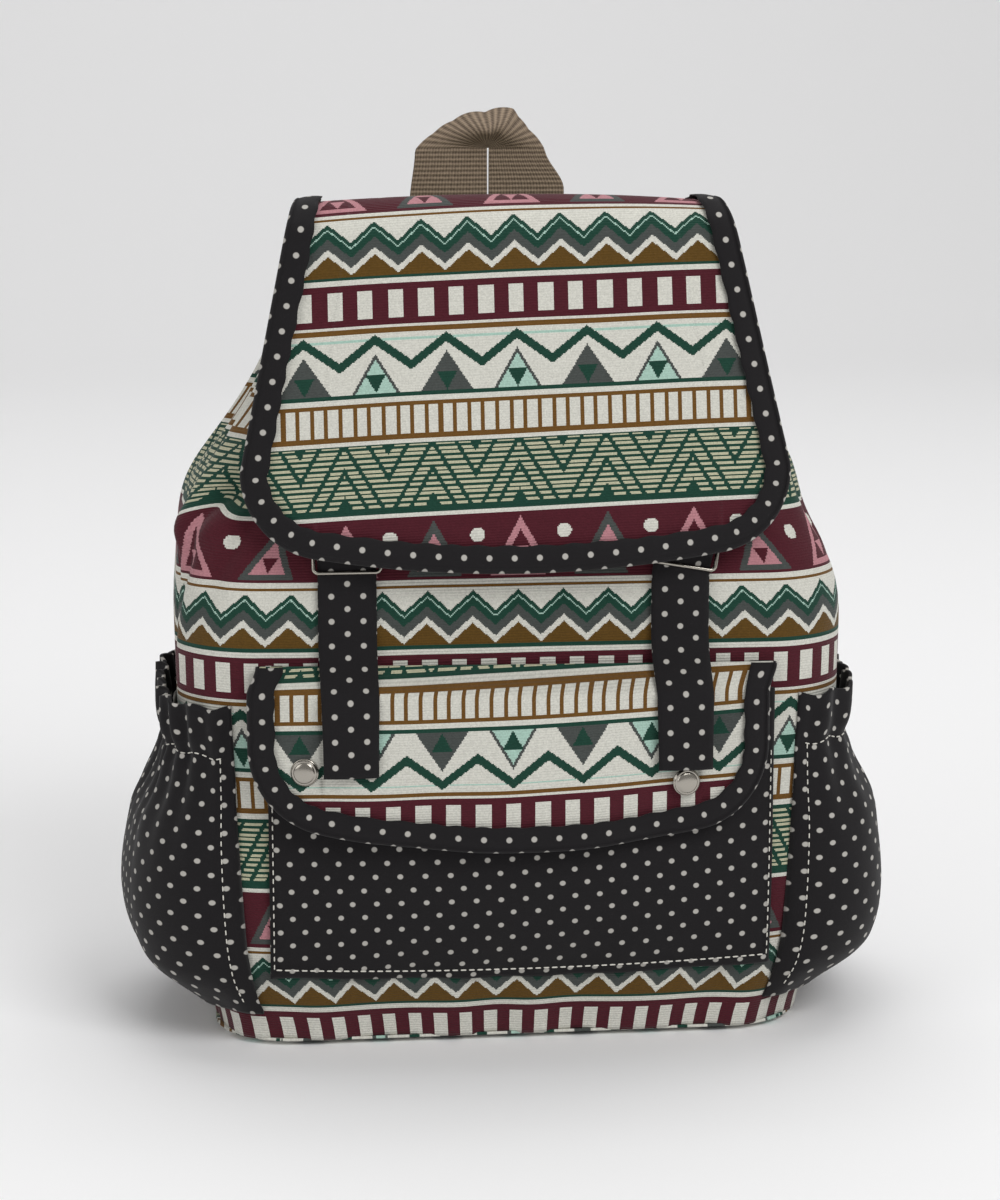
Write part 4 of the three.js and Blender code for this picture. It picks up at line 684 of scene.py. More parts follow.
# %% Flap shape
flap_low, flap_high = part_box("flap_panel")
BACK_FOLD, FRONT_FOLD = 26.0, 20.0                           # mm, fold radii of the outer face
flap_back = flap_high.y / MM                                 # y of its back
flap_top = flap_high.z / MM
SEAM_LEVEL = 298.0                                           # mm, where it is sewn up the back
fold_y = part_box("mouth_hem")[0].y / MM - 10.0 + FRONT_FOLD    # middle of the front fold
hem_y, hem_z = flap_low.y / MM, flap_low.z / MM
fold_z = flap_top - FRONT_FOLD
reach = math.hypot(hem_y - fold_y, hem_z - fold_z)
hang = math.sqrt(reach ** 2 - FRONT_FOLD ** 2)               # straight part, tangent to the fold
lean = math.atan2(fold_y - hem_y, fold_z - hem_z) - math.atan2(FRONT_FOLD, hang)
RUNS = np.cumsum([0, flap_top - BACK_FOLD - SEAM_LEVEL, BACK_FOLD * math.pi / 2,
                  flap_back - BACK_FOLD - fold_y, FRONT_FOLD * (math.pi / 2 - lean), hang])
FLAP_LONG = RUNS[-1]
TOP_HALF, HEM_HALF, HEM_ROUND = 86.0, 111.0, 34.0


def flap_line(along, out=0.0):
    """The flap's middle line: (y, z) at a distance from the back seam, moved out from the bag."""
    turn_back = np.clip((along - RUNS[1]) / BACK_FOLD, 0, math.pi / 2)
    turn_front = np.clip((along - RUNS[3]) / FRONT_FOLD, 0, math.pi / 2 - lean)
    up = np.clip(along, 0, RUNS[1])
    over = np.clip(along - RUNS[2], 0, RUNS[3] - RUNS[2])
    down = np.clip(along - RUNS[4], 0, None)
    facing = turn_back + turn_front                          # 0 faces back, quarter turn faces up
    y = flap_back - BACK_FOLD + BACK_FOLD * np.cos(turn_back) - over - FRONT_FOLD * np.sin(turn_front)
    z = SEAM_LEVEL + up + BACK_FOLD * np.sin(turn_back) - FRONT_FOLD * (1 - np.cos(turn_front))
    y = y - down * math.sin(lean)
    z = z - down * math.cos(lean)
    return y + out * np.cos(facing), z + out * np.sin(facing)


def hem_outline(half, radius, long, count):
    """The hem of a flap as (x, along) from its left corner to its right: corner, bow, corner."""
    bow = (half - radius) / math.cos(math.radians(80)) + radius
    middle = long - bow
    corner_along = middle + (bow - radius) * math.sin(math.radians(80))
    ends = np.linspace(0, math.radians(80), count // 4)
    left = [(-(half - radius) - radius * math.cos(a), corner_along + radius * math.sin(a)) for a in ends]
    sweep = np.linspace(math.radians(80), math.radians(100), count - 2 * (count // 4))
    bowed = [(-bow * math.cos(a), middle + bow * math.sin(a)) for a in sweep]
    return np.array(left + bowed + [(-x, s) for x, s in left[::-1]])


def flap_point(x, along, out=0.0):
    """A place on the draped flap: its line, plus puff, sag and waves where it hangs free."""
    free = smooth_step(along, RUNS[3], RUNS[4] + 60)
    across = x / (TOP_HALF + (HEM_HALF - TOP_HALF) * smooth_step(along, RUNS[3], FLAP_LONG - 40))
    hung = np.clip((along - RUNS[3]) / (FLAP_LONG - RUNS[3]), 0, 1)
    puff = 3.4 * (1 - across ** 2) * np.sin(math.pi * hung)
    waves = free * (1.4 * np.sin(x / 17 + along / 55) + 0.9 * np.sin(x / 9.3 - along / 33))
    crown = 2.0 * (1 - across ** 2) * smooth_step(along, RUNS[1], RUNS[2]) * (1 - free)
    droop = -2.5 * np.abs(across) ** 3 * hump(along, (RUNS[2] + RUNS[3]) / 2, 40)
    sag = -9.0 * smooth_step(RUNS[3] + 6 - along, 0, RUNS[3] - RUNS[2] + 6)
    sag = sag * smooth_step(along, RUNS[1], RUNS[2])
    edge_curl = -2.2 * free * np.abs(across) ** 6
    drape = out + puff + 0.5 * waves + crown + droop + sag + edge_curl
    y, z = flap_line(along, drape + 0.6 * wobble(x, along, seed=5))
    return np.stack([x, y, z], axis=-1)


HEM_BAND = 23.7           # mm of the maroon band above the flap hem
FLAP_SKEW = 0.038         # the cloth was cut about two degrees off its bands


CORNER_RISE = 40.7        # mm from the lowest point of the hem up to where its corners start
FLAP_HEM = hem_outline(HEM_HALF, HEM_ROUND, FLAP_LONG, 150)


def flap_half(along):
    """Half the flap's width, which grows from the front fold to the corners of the hem."""
    widen = np.clip((along - RUNS[3]) / (FLAP_LONG - CORNER_RISE - RUNS[3]), 0, 1)
    return TOP_HALF + (HEM_HALF - TOP_HALF) * widen


def flap_panel():
    along = np.linspace(0, 1, 190)[:, None] * FLAP_HEM[None, :, 1]
    x = FLAP_HEM[None, :, 0] * flap_half(along) / HEM_HALF
    band = (along - (FLAP_LONG - HEM_BAND)) / WEAVE + FLAP_SKEW * x + 0.4 * wobble(x, along, seed=2)
    maps = np.stack([x / WEAVE, band], axis=-1)
    return sew("flap_panel", flap_point(x, along), maps, 1.6, JACQUARD, "hung")


flap_panel()

# %% [markdown]
# ### Bindings
# A strip of dotted cotton is folded over the raw edge of each flap and sewn through. It is swept
# along the outline as a small U: a lip in front, a round fold past the edge, a lip behind. The
# print is laid so that one row of dots runs down the middle of the front lip.

# %% Binding
BINDING = 9.4


def outline_frame(outline):
    """Length along an outline and its inward direction at each point."""
    step = unit(np.gradient(outline, axis=0))
    return run_length(outline), np.stack([step[:, 1], -step[:, 0]], axis=1)


def even_outline(outline, step):
    length = run_length(outline)
    places = np.linspace(0, length[-1], int(length[-1] / step))
    return np.stack([np.interp(places, length, outline[:, k]) for k in (0, 1)], axis=1)


def whole_outline(hem, side_x, sides):
    """A flap's edge from its seam down the left side, along the hem and up the right side."""
    left, right = np.stack([-side_x, sides], axis=1), np.stack([side_x, sides], axis=1)
    return np.concatenate([left, hem, right[::-1]])


def bind(name, outline, place):
    """A binding swept along an outline in the cloth's own plane."""
    outline = even_outline(outline, 1.6)
    length, inward = outline_frame(outline)
    fold = np.linspace(-1, 1, 9) * math.pi / 2
    lip = np.linspace(0, 1, 6)
    section = [(BINDING * (1 - t), 1.5 + 0.5 * math.sin(math.pi * t)) for t in lip]
    section += [(-1.2 * math.cos(a), 0.15 - 1.6 * math.sin(a)) for a in fold]
    section += [(BINDING * t, -2.3) for t in lip[1:]]
    section = np.array(section)
    inset, out = np.meshgrid(section[:, 0], length)[0], np.meshgrid(section[:, 1], length)[0]
    pucker = 0.35 * np.sin(length / 1.9 + np.sin(length / 11))[:, None]
    pucker = pucker + 0.5 * wobble(length, seed=4)[:, None]
    inset = inset + pucker * (inset > 6)
    out = out + 0.25 * pucker
    x = outline[:, :1] + inset * inward[:, :1]
    along = outline[:, 1:] + inset * inward[:, 1:]
    run = run_length(section)
    maps = np.stack(np.broadcast_arrays(length[:, None], run[None, :] - 4.9), axis=-1)
    return sew(name, place(x, along, out), maps, 0.5, COTTON, "folded")


sides = np.linspace(0, FLAP_HEM[0, 1], 120)[:-1]
bind("flap_binding", whole_outline(FLAP_HEM, flap_half(sides), sides), flap_point)

# %% [markdown]
# ## Front pocket and its flap
# The pocket is a panel eased onto the body so that it stands out like a shallow pillow, flat at
# its sides and foot. Its flap hangs over it from a seam above and is held by two snaps, and its
# cloth is turned end for end, so the bands run the other way up.

# %% Pocket
pocket_low, pocket_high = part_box("front_pocket")
POCKET_HALF, POCKET_FOOT, POCKET_TOP = pocket_high.x / MM, pocket_low.z / MM, pocket_high.z / MM
POCKET_SWELL = 17.0
POCKET_SHIFT = 2.0        # mm, it was sewn on a little to the right
CLOTH, GAP = 2.0, 0.3


def pocket_face(x, z):
    """How far the pocket's outer face stands in front of y = 0."""
    u = np.clip(np.abs(x) / POCKET_HALF, 0, 1)
    v = np.clip((z - POCKET_FOOT) / (POCKET_TOP - POCKET_FOOT), 0, 1)
    pillow = POCKET_SWELL * (1 - u ** 2) * (1 - (1 - v) ** 3) * (1 - 0.35 * v ** 2)
    return at_level(front_at_level, z) + GAP + CLOTH + pillow


def front_pocket():
    share = np.linspace(-1, 1, 160)[None, :]
    level = np.linspace(POCKET_TOP, POCKET_FOOT, 100)[:, None]
    bow = 3.0 * (1 - share ** 2) * smooth_step(level, 60, POCKET_FOOT)
    x, z = np.broadcast_arrays(share * POCKET_HALF, level - bow)
    tucks = 1.0 * np.sin(x / 6.3 + np.sin(x / 21)) * (1 - smooth_step(z, POCKET_FOOT, POCKET_FOOT + 26))
    seam = hump(np.minimum(POCKET_HALF - np.abs(x), z - POCKET_FOOT + bow), 0, 3)
    y = -(pocket_face(x, z) + tucks + 1.2 * wobble(x, z, seed=6) - 0.9 * seam)
    maps = np.stack([x + 1.5 * wobble(x, z, seed=9), 1.08 * (POCKET_TOP - z) + 0.03 * x], axis=-1)
    points = np.stack([x * 0.985 + POCKET_SHIFT, y, z], axis=-1)
    return sew("front_pocket", points, maps, 1.4, COTTON, "stretched")


front_pocket()

# %% Pocket flap
pflap_low, pflap_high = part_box("pocket_flap")
PFLAP_HALF, PFLAP_TOP = pflap_high.x / MM, pflap_high.z / MM
PFLAP_LONG = PFLAP_TOP - pflap_low.z / MM
PFLAP_STAND = 4.6         # mm from the pocket's face to the flap's
PFLAP_SHIFT = -4.0        # it hangs a little to the left


def pocket_flap_point(x, along, out=0.0):
    z = PFLAP_TOP - along
    on_pocket = pocket_face(x, np.minimum(z, POCKET_TOP + 2)) + PFLAP_STAND + CLOTH
    top = at_level(front_at_level, PFLAP_TOP) + 1.6 + CLOTH
    lift = smooth_step(z, PFLAP_TOP, POCKET_TOP + 2)
    stand = top + (on_pocket - top) * lift
    waves = 1.1 * np.sin(x / 15 + 0.8) + 0.7 * np.sin(x / 7.7 + along / 20)
    waves = smooth_step(along, 5, PFLAP_LONG) * waves
    y = -(stand + waves + out + 0.7 * wobble(x, along, seed=7))
    return np.stack(np.broadcast_arrays(x + PFLAP_SHIFT * lift, y, z - 0.012 * x), axis=-1)


PFLAP_BAND = 123.0        # mm into the repeat at its top seam, counted upward
PFLAP_HEM = hem_outline(PFLAP_HALF, HEM_ROUND, PFLAP_LONG, 150)


def pocket_flap():
    along = np.linspace(0, 1, 70)[:, None] * PFLAP_HEM[None, :, 1]
    x = np.broadcast_to(PFLAP_HEM[None, :, 0], along.shape)
    band = PFLAP_BAND - along / WEAVE - FLAP_SKEW * x + 0.4 * wobble(x, along, seed=1)
    maps = np.stack([-x / WEAVE, band], axis=-1)
    return sew("pocket_flap", pocket_flap_point(x, along), maps, 1.6, JACQUARD, "hung")


pocket_flap()
sides = np.linspace(0, PFLAP_HEM[0, 1], 30)[:-1]
outline = whole_outline(PFLAP_HEM, np.full_like(sides, PFLAP_HALF), sides)
bind("pocket_flap_binding", outline, pocket_flap_point)

# %% [markdown]
# ## Side pockets
# Each side pocket is a wide panel drawn in by an elastic near its top, so it bellies out low
# down, gathers toward the elastic and flares into a small ruffle above it. How far it stands out
# at each height is measured from the CAD pocket.

# %% Side pockets
def side_pocket(side, sign):
    name = f"{side}_side_pocket"
    solid = node_points(name)
    heights = np.unique(np.round(solid[:, 2], 1))
    stand = np.array([np.abs(solid[np.abs(solid[:, 2] - z) < 0.3, 0]).max() for z in heights])
    stand = stand - at_level(half_at_level, heights)
    start, end = FRONT_END + ROUND * 20 / 90, BACK_START - ROUND * 12 / 90
    lo, hi = heights[0] + 10.0, heights[-1] + 3.0
    line = (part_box(f"{side}_pocket_elastic")[0].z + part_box(f"{side}_pocket_elastic")[1].z) / 2 / MM
    share, z = np.meshgrid(np.linspace(0, 1, 150), np.linspace(hi, lo, 110))
    pouch = np.sin(math.pi * share) ** 0.6
    swell = sum(np.interp(z + d, heights, stand) for d in (-8, -4, 0, 4, 8)) / 5
    swell = swell * (1 - 0.5 * smooth_step(z, 90, 126)) * smooth_step(z, lo - 14, lo + 22)
    swell = swell * (0.9 if sign < 0 else 1.0)
    round_it = start + (end - start) * share
    folds = np.sin(share * 74 + 2.2 * np.sin(share * 9 + sign)) + 0.45 * np.sin(share * 41 + z / 26)
    gather = smooth_step(z, 70, line) * (0.65 + 0.35 * hump(z, line + 12, 9))
    low_folds = np.sin(share * 33 + 1.5 * np.sin(share * 12)) * hump(z, 12, 26)
    pinch = 2.6 * hump(z, line, 4.5)
    uneven = 1.6 * wobble(share * 150, z, seed=11 + sign)
    out = GAP + swell * pouch + pouch * (2.3 * gather * folds + 1.6 * low_folds - pinch + uneven)
    out = np.maximum(out, 0.9)
    around = sign * round_it
    flat_wide = 1.25 * (end - start)
    points = skin(around, z + 1.3 * gather * np.cos(share * 60) * (z > line), out)
    maps = np.stack([sign * share * flat_wide, 1.12 * (hi - z)], axis=-1)
    if sign < 0:
        points, maps = points[:, ::-1], maps[:, ::-1]
    sew(name, points, maps, 1.4, COTTON, "gathered")
    face = points + 0.25 * grid_normals(points)
    row = int(np.argmin(np.abs(z[:, 0] - line)))
    face = {"elastic": face[row, 4:-4], "front": face[row:-4, 5 if sign > 0 else -6]}
    rows = np.linspace(line + 5.5, line - 5.5, 6)
    share, z = np.meshgrid(np.linspace(0.02, 0.98, 90), rows)
    around = sign * (start + (end - start) * share)
    inside = GAP + 0.5 * np.interp(z, heights, stand) * np.sin(math.pi * share) ** 0.6 - 5.2
    points = skin(around, z, np.maximum(inside, 0.3))
    maps = np.stack([z - line, share * (end - start)], axis=-1)
    if sign < 0:
        points, maps = points[:, ::-1], maps[:, ::-1]
    sew(f"{side}_pocket_elastic", points, maps, 0.8, ELASTIC, "stretched")
    return face


side_faces = {"left": side_pocket("left", -1), "right": side_pocket("right", 1)}

# %% [markdown]
# ## Straps, tabs and rings
# Two flat cotton straps come from under the flap, pass through wire rings and hang over the
# pocket flap. A ring is one bent wire, so it is a round section swept round a rounded rectangle;
# its size and tilt are read from the CAD ring, whose swing it follows.

# %% Strips along a path
def eased(path, step, passes=3):
    """A path resampled to even steps with its corners softened, ends kept."""
    path = np.asarray(path, float)
    length = run_length(path)
    places = np.linspace(0, length[-1], max(8, int(length[-1] / step)))
    path = np.stack([np.interp(places, length, path[:, k]) for k in range(3)], axis=1)
    for _ in range(passes):
        path[1:-1] = (path[:-2] + 2 * path[1:-1] + path[2:]) / 4
    return path


def strip(name, path, across, width, thick, material, held,
          crown=0.0, columns=11, swap=False):
    """A flat band swept along a path; across is its direction to the right seen from outside."""
    across = np.broadcast_to(np.asarray(across, float), path.shape)
    width = np.broadcast_to(np.asarray(width, float), path.shape[:1])
    length = run_length(path)
    side = np.linspace(-0.5, 0.5, columns)
    outward = unit(np.cross(np.gradient(path, axis=0), across))
    bulge = crown * (1 - (2 * side) ** 2)
    points = path[:, None] + side[None, :, None] * width[:, None, None] * across[:, None]
    points = points + bulge[None, :, None] * outward[:, None]
    maps = np.stack(np.broadcast_arrays(side[None, :] * width[:, None], length[:, None]), axis=-1)
    return sew(name, points, maps[..., ::-1] if swap else maps, thick, material, held)


print("strips are swept along eased paths")

# %% Front straps
def flap_strap(side):
    name = f"flap_strap_{side}"
    solid = node_points(name)
    heights = np.unique(np.round(solid[:, 2], 1))[::-1]
    rows = [solid[np.abs(solid[:, 2] - z) < 0.3] for z in heights]
    middle = [(r[:, 0].min() + r[:, 0].max()) / 2 for r in rows]
    path = eased([(x, r[:, 1].min(), z) for x, r, z in zip(middle, rows, heights)], 2.0, 2)
    width = rows[0][:, 0].max() - rows[0][:, 0].min()
    low = smooth_step(path[:, 2], 175, path[-1, 2])
    path[:, 1] -= 0.5 * low * np.sin(path[:, 2] / 9)
    return strip(name, path, (1, 0, 0), width - 1.5 * low, 1.4, COTTON, "hung",
                 crown=0.9, swap=True)


for side in ("left", "right"):
    flap_strap(side)

# %% Rings and their tabs
def principal_axes(points):
    """Middle and axes of a set of points, longest first."""
    middle = (points.max(axis=0) + points.min(axis=0)) / 2
    _, axes = np.linalg.eigh(np.cov((points - points.mean(axis=0)).T))
    return middle, axes[:, ::-1].T


def tube(name, path, outward, normal, radius, material, nodes, body):
    """A round section swept round a closed path lying in a plane."""
    turn = np.linspace(0, 2 * math.pi, 17)[:-1]
    cosine, sine = np.cos(turn)[None, :, None], np.sin(turn)[None, :, None]
    points = path[:, None] + radius * (cosine * outward[:, None] + sine * normal)
    rows, columns = points.shape[:2]
    number = np.arange(rows * columns).reshape(rows, columns)
    below, right = np.roll(number, -1, axis=0), np.roll(number, -1, axis=1)
    across = np.roll(below, -1, axis=1)
    faces = np.stack([number, below, across, right], axis=-1).reshape(-1, 4).tolist()
    piece = mesh_object(name, points.reshape(-1, 3), faces, np.zeros((rows * columns, 2)), material)
    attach(piece, body)
    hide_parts(*nodes)
    return piece


WIRE = 1.7                # mm
TAB_TURN = 2.1            # mm, radius of the tab's fold round the wire


def strap_ring(side):
    solid = node_points(f"strap_ring_{side}")
    middle, (wide, tall, normal) = principal_axes(solid)
    half = [np.ptp((solid - middle) @ axis) / 2 - WIRE / 2 for axis in (wide, tall)]
    spans = [((solid - middle) @ axis, axis) for axis in (wide, tall, normal)]
    middle = middle + sum(s.min() / 2 * axis + s.max() / 2 * axis for s, axis in spans)
    bend = 2.2
    corners = [(half[0] - bend, half[1] - bend, 0), (bend - half[0], half[1] - bend, 90),
               (bend - half[0], bend - half[1], 180), (half[0] - bend, bend - half[1], 270)]
    flat, out = [], []
    for cx, cy, begin in corners:
        for a in np.radians(np.linspace(begin, begin + 90, 9)):
            flat.append((cx + bend * math.cos(a), cy + bend * math.sin(a)))
            out.append((math.cos(a), math.sin(a)))
    path = middle + np.array(flat) @ np.array([wide, tall])
    normal = np.cross(wide, tall)
    ring = tube(f"wire_ring_{side}", path, np.array(out) @ np.array([wide, tall]), -normal, WIRE / 2, NICKEL,
                [f"strap_ring_{side}"], f"ring_{side}")
    print(f"ring {side}: {2 * half[0]:.1f} x {2 * half[1]:.1f} mm between wire middles")
    return ring


def ring_tab(side):
    solid = node_points(f"ring_tab_{side}")
    top = solid[solid[:, 2] > solid[:, 2].max() - 1.5].mean(axis=0)
    foot = solid[solid[:, 2] < solid[:, 2].min() + 2.5].mean(axis=0)
    across = np.array([1.0, 0, 0])
    if side == "right":
        across = np.array([math.cos(math.radians(10)), 0, -math.sin(math.radians(10))])
    turn = np.linspace(math.pi / 2, -math.pi / 2, 9)
    loop = [(0, -TAB_TURN * math.sin(a), TAB_TURN - TAB_TURN * math.cos(a)) for a in turn]
    path = [top + (0, -0.9, 0)] + [foot + np.array(p) for p in loop] + [top + (0, 0.9, 0)]
    return strip(f"ring_tab_{side}", eased(path, 1.2, 1), across, 20, 0.8, COTTON, "folded",
                 swap=True)


for side in ("left", "right"):
    strap_ring(side)
    ring_tab(side)

# %% [markdown]
# ## Snaps and eyelets
# A snap is stamped and turned metal, so its profile is spun round the axis of its CAD cap: a low
# dome with a rolled edge in front, and a neck and socket behind the cloth. Studs and eyelets are
# plain turned parts that the cloth hides, and they keep their CAD shape.

# %% Snap caps
def turned(name, middle, axis, profile, material, nodes, sides=56):
    """A profile of (radius, height) in mm spun round an axis."""
    axis = axis / np.linalg.norm(axis)
    first = np.cross(axis, (1, 0, 0)) if abs(axis[0]) < 0.9 else np.cross(axis, (0, 0, 1))
    first /= np.linalg.norm(first)
    second = np.cross(axis, first)
    turn = np.linspace(0, 2 * math.pi, sides, endpoint=False)
    points = [middle + r * (math.cos(a) * first + math.sin(a) * second) + h * axis
              for r, h in profile for a in turn]
    faces = capped_faces(len(profile), sides)
    piece = mesh_object(name, points, faces, np.zeros((len(points), 2)), material)
    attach(piece, "bag")
    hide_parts(*nodes)
    return piece


def snap_cap(side):
    solid = node_points(f"snap_cap_{side}")
    middle, axes = principal_axes(solid)
    spans = [np.ptp((solid - middle) @ axis) for axis in axes]
    axis = axes[int(np.argmin(spans))]
    axis = axis if axis[1] < 0 else -axis
    heights = (solid - middle) @ axis
    far = solid[heights > heights.max() - 0.05].mean(axis=0)
    rim = np.linalg.norm(np.cross(solid - far, axis), axis=1).max()
    dome, edge = 2.6, 0.8
    back_depth = heights.max() - heights.min()
    # socket and neck, rolled edge, groove inside it, low dome
    profile = [(2.6, -back_depth), (2.6, -back_depth + 1.6), (1.5, -back_depth + 1.8)]
    profile += [(1.5, -dome - edge), (rim - 0.5, -dome - edge)]
    profile += [(rim - 0.4 + 0.4 * math.sin(a), -dome - edge / 2 - 0.4 * math.cos(a))
                for a in np.linspace(0, math.pi, 9)]
    profile += [(rim * r, -dome * h) for r, h in ((0.9, 0.72), (0.84, 0.62), (0.79, 0.68), (0.76, 0.66))]
    profile += [(rim * 0.74 * math.cos(a), -dome * 0.64 + dome * 0.34 * math.sin(a))
                for a in np.linspace(0.1, math.pi / 2 - 0.03, 12)]
    print(f"snap {side}: cap {2 * rim:.1f} mm across")
    return turned(f"domed_snap_{side}", far, axis, profile, NICKEL, [f"snap_cap_{side}"])


for side in ("left", "right"):
    snap_cap(side)
for node in ("snap_stud_left", "snap_stud_right", "mouth_eyelet_left", "mouth_eyelet_right"):
    keep_cad(node, NICKEL)

# %% [markdown]
# ## Handle, yoke and shoulder straps
# The grab handle is one piece of webbing, doubled over on itself so that its inner edge crumples
# and its outer edge stands up. The yoke is a flat strip that holds the straps to the back. The
# straps are cloth round a thin foam, so each is a soft section swept along the CAD strap.

# %% Handle
FOLD_TURN = [0, 23, 44, 55, 93, 142, 165, 180]                # degrees round the fold, from the right
FOLD_REACH = [24.5, 19.8, 19.2, 20.5, 15.2, 18.9, 24.5, 31.5]  # mm from the fold's middle to its outer edge


def grab_handle():
    low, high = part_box("grab_handle")
    turn_z = high.z / MM - 17.0
    y, tilt, width = low.y / MM + 1.1, math.radians(22), 32.0
    share = np.linspace(0, 1, 29)
    rows = []
    legs = np.linspace(low.z / MM, turn_z, 30)[:-1]
    for z in legs:
        up = smooth_step(z, turn_z - 24, turn_z)
        reach = 34.0 - 2.5 * up
        rows.append(np.stack([-0.4 - reach * share, y + 0 * share, z + 0 * share], axis=1))
    for a in np.linspace(180, 0, 64):
        reach = np.interp(a, FOLD_TURN, FOLD_REACH)
        turn = math.radians(a)
        lift = math.sin(turn) * reach * share
        loose = 0.42 * math.sqrt(max(width ** 2 - reach ** 2, 0))
        roll = loose * np.sin(math.pi * share) ** 1.3 - 2.2 * hump(share, 0.25, 0.12)
        inner = 0.4 * np.sign(math.cos(turn)) * (1 - share) * abs(math.cos(turn))
        deep = y + lift * math.sin(tilt) - roll * math.sin(turn) ** 0.8
        rows.append(np.stack([inner + reach * share * math.cos(turn), deep, turn_z + lift], axis=1))
    for z in legs[::-1]:
        up = smooth_step(z, turn_z - 18, turn_z)
        rows.append(np.stack([0.4 + (33.0 - 8.5 * up) * share, y + 0 * share, z + 0 * share], axis=1))
    points = np.array(rows)
    points[..., 1] += 0.5 * np.sin(points[..., 2] / 11 + points[..., 0] / 9)
    length = run_length(points[:, 14])
    maps = np.stack(np.broadcast_arrays(width * share[None, :], length[:, None]), axis=-1)
    return sew("grab_handle", points, maps, 1.8, WEBBING, "folded")


grab_handle()

# %% Yoke and shoulder straps
def strap_yoke():
    low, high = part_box("strap_yoke")
    z = np.linspace(high.z / MM, low.z / MM, 16)
    path = np.stack([np.zeros_like(z), np.full_like(z, high.y / MM), z], axis=1)
    return strip("strap_yoke", path, (-1, 0, 0), (high.x - low.x) / MM, 1.8, COTTON, "laid",
                 columns=40)


strap_yoke()


STRAP_HALF, STRAP_DEEP = 28.0, 4.3    # mm, half the width and half the thickness of the padding


def shoulder_strap(side):
    name = f"shoulder_strap_{side}"
    solid = node_points(name)
    top, foot = solid[:, 2].max(), solid[:, 2].min()
    cuts = np.linspace(top - 1, foot + 1, 30)
    path = []
    for z in cuts:
        near = solid[np.abs(solid[:, 2] - z) < 12]
        path.append((near.min(axis=0) + near.max(axis=0)) / 2 * (1, 1, 0) + (0, 0, z))
    path = eased(path, 3.0, 24)
    length = run_length(path)
    share = length / length[-1]
    half = STRAP_HALF * (1 - 0.45 * smooth_step(share, 0.65, 1))
    forward = unit(np.gradient(path, axis=0))
    across = unit(np.cross(forward, np.cross(np.array([1.0, 0, 0]), forward)))
    outward = np.cross(across, forward)
    turn = np.linspace(0, 2 * math.pi, 40, endpoint=False)
    quilt = 0.35 * np.cos(share * 60)[:, None] * np.abs(np.sin(turn))[None, :]
    wide = np.sign(np.cos(turn)) * np.abs(np.cos(turn)) ** 0.6
    thick = np.sign(np.sin(turn)) * np.abs(np.sin(turn)) ** 0.75
    end = np.minimum(1, np.minimum(share, 1 - share) / 0.012) ** 0.5
    points = path[:, None] + wide[None, :, None] * half[:, None, None] * across[:, None] \
        + (thick[None, :] * (STRAP_DEEP + quilt) * end[:, None])[..., None] * outward[:, None]
    faces = capped_faces(*points.shape[:2])
    maps = np.stack(np.broadcast_arrays(wide[None, :] * STRAP_HALF, length[:, None]), axis=-1)
    piece = mesh_object("padded_" + name, points.reshape(-1, 3), faces, maps.reshape(-1, 2), COTTON)
    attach(piece, "bag")
    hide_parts(name)
    print(f"{name}: {length[-1]:.0f} mm long, {2 * half[0]:.0f} mm wide")


for side in ("left", "right"):
    shoulder_strap(side)

# %% [markdown]
# ## Adjusters and webbing
# Each strap ends in a webbing loop round a ladder-lock adjuster. A second webbing comes up from
# a tab in the bottom seam, goes up through the near slot, over the bar and down through the far
# one, and its tail hangs free. The adjusters are moulded, so their CAD shape is kept and only
# its edges are rounded.

# %% Adjusters and webbing
ADJUSTER_AT = {"left": np.array([-90.0, 102.0, 112.0]), "right": np.array([90.0, 102.0, 112.0])}
# The webbing's way through the adjuster in mm: away from the bag, then down the strap
RUN, TAIL, OVER = -4.7, -3.1, 5.8
UP, DOWN = 7.05, 18.5
WEB_WIDE = 24.6


def adjuster_frame(side):
    """Directions down the strap, across it and away from the bag, read from the anchor tab."""
    _, (_, down, away) = principal_axes(node_points(f"webbing_anchor_{side}"))
    down = down if down[2] < 0 else -down
    away = away if away[1] > 0 else -away
    return down, np.cross(away, down), away


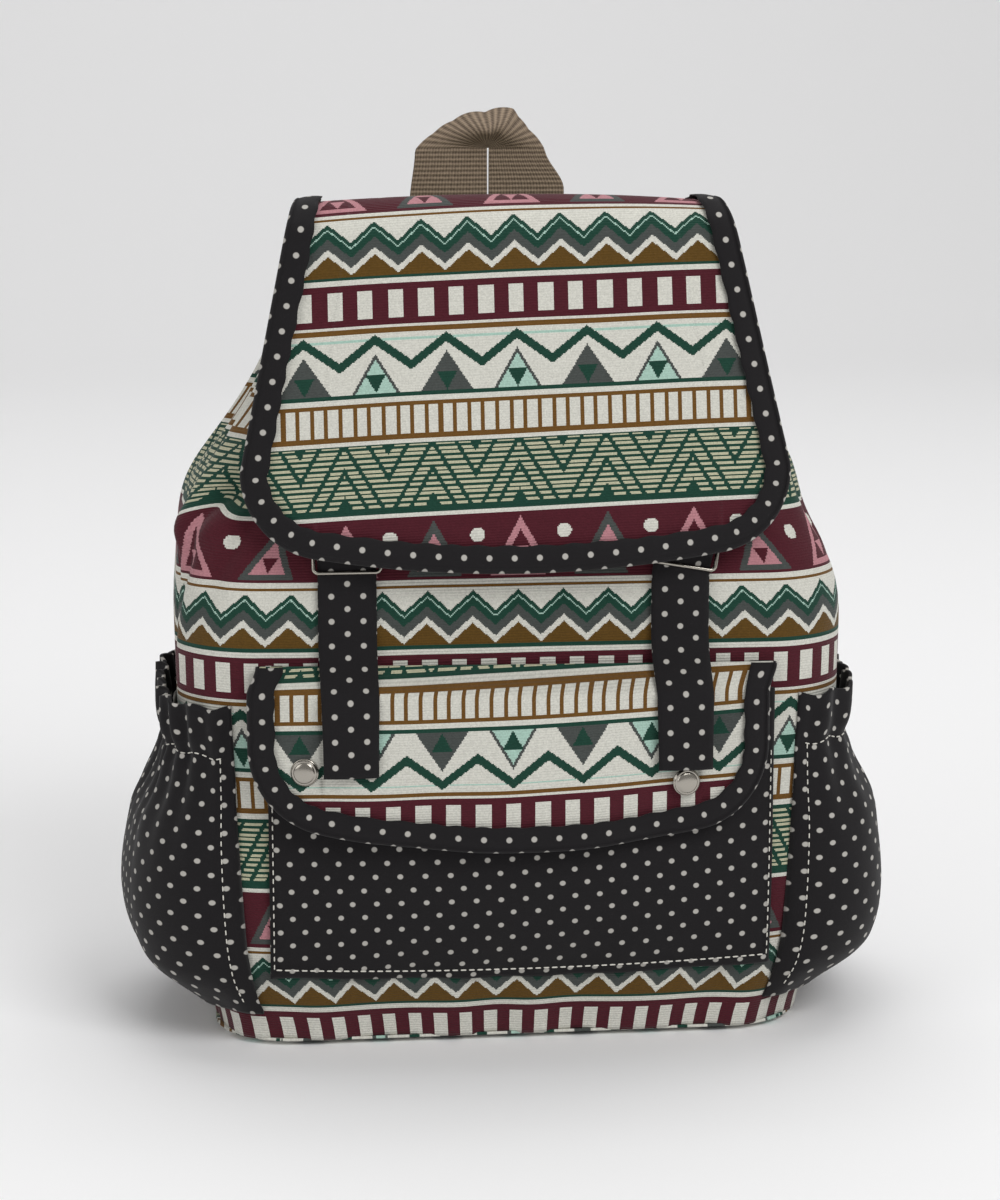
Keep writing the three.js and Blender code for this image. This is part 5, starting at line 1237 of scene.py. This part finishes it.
def webbing(side):
    down, across, away = adjuster_frame(side)
    solid = node_points(f"strap_webbing_{side}")
    reach = ((solid - ADJUSTER_AT[side]) @ down).max()
    line = [(reach, RUN), (13.5, RUN), (9.5, RUN + 1), (UP, RUN + 3), (UP, 3.8), (UP + 2, OVER),
            (DOWN - 2, OVER), (DOWN, 3.8), (DOWN, TAIL + 2), (DOWN + 2, TAIL), (DOWN + 46, TAIL)]
    path = np.array([ADJUSTER_AT[side] + a * down + b * away for a, b in line])
    strip(f"strap_webbing_{side}", eased(path, 1.0, 2), -across, WEB_WIDE, 1.2, WEBBING, "hung")
    turn = np.linspace(-math.pi / 2, math.pi / 2, 12)
    bend = [(2.9 * math.sin(a + math.pi / 2), 2.6 * math.sin(-a)) for a in turn]
    loop = [(-15.0, 2.6)] + bend + [(-15.0, -2.6)]
    path = np.array([ADJUSTER_AT[side] + a * down + b * away for a, b in loop])
    strip(f"adjuster_loop_{side}", eased(path, 0.8, 1), across, WEB_WIDE, 1.0, WEBBING, "folded")
    tab = node_points(f"webbing_anchor_{side}") - ADJUSTER_AT[side]
    run = np.linspace((tab @ down).min(), (tab @ down).max(), 14)
    path = ADJUSTER_AT[side] + run[:, None] * down + (tab @ away).max() * away
    strip(f"webbing_anchor_{side}", path, across, np.linspace(29, 48, 14), 1.8, COTTON, "folded",
          swap=True)
    soften = keep_cad(f"strap_adjuster_{side}", NYLON).modifiers.new("moulded_edges", "BEVEL")
    soften.width, soften.segments, soften.limit_method = 0.4 * MM, 2, "ANGLE"


for side in ("left", "right"):
    webbing(side)

# %% [markdown]
# ## Stitches
# Pale thread shows along the pocket and at the elastic. Each stitch is a short capsule laid just
# on the cloth; one mesh holds a whole row.

# %% Stitches
def stitches(name, path, length=2.4, gap=1.1, radius=0.34):
    """A row of short thread capsules along a path in mm."""
    path = eased(path, 0.7, 2)
    run = run_length(path)
    points, faces = [], []
    turn = np.linspace(0, 2 * math.pi, 6, endpoint=False)
    for begin in np.arange(0, run[-1] - length, length + gap):
        ends = np.array([[np.interp(begin + t * length, run, path[:, k]) for k in range(3)]
                         for t in (0, 0.15, 0.85, 1)])
        line = ends[3] - ends[0]
        line /= np.linalg.norm(line)
        first = np.cross(line, (0.3, 0.2, 0.93))
        first /= np.linalg.norm(first)
        second = np.cross(line, first)
        start = len(points)
        for end, r in zip(ends, (0.4, 1, 1, 0.4)):
            points += [end + radius * r * (math.cos(a) * first + math.sin(a) * second) for a in turn]
        faces += capped_faces(4, 6, start)
    piece = mesh_object(name, np.array(points), faces, np.zeros((len(points), 2)), SEWING)
    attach(piece, "bag")
    print(f"{name}: {len(faces) // 20} stitches")
    return piece


x = np.linspace(-POCKET_HALF + 4, POCKET_HALF - 4, 120)
z = POCKET_FOOT + 4.5 - 3.0 * (1 - (x / POCKET_HALF) ** 2)
stitches("pocket_foot_stitches", np.stack([x + POCKET_SHIFT, -(pocket_face(x, z) + 0.7), z], axis=1))
z = np.linspace(POCKET_FOOT + 4.5, 128, 90)
for side, sign in (("left", -1), ("right", 1)):
    x = np.full_like(z, sign * (POCKET_HALF - 3.2))
    row = np.stack([x + POCKET_SHIFT, -(pocket_face(x, z) + 0.6), z], axis=1)
    stitches(f"pocket_{side}_stitches", row, 2.2, 1.6, 0.28)
    stitches(f"{side}_elastic_stitches", side_faces[side]["elastic"], 2.2, 1.4, 0.3)
    stitches(f"{side}_edge_stitches", side_faces[side]["front"], 2.2, 1.6, 0.28)
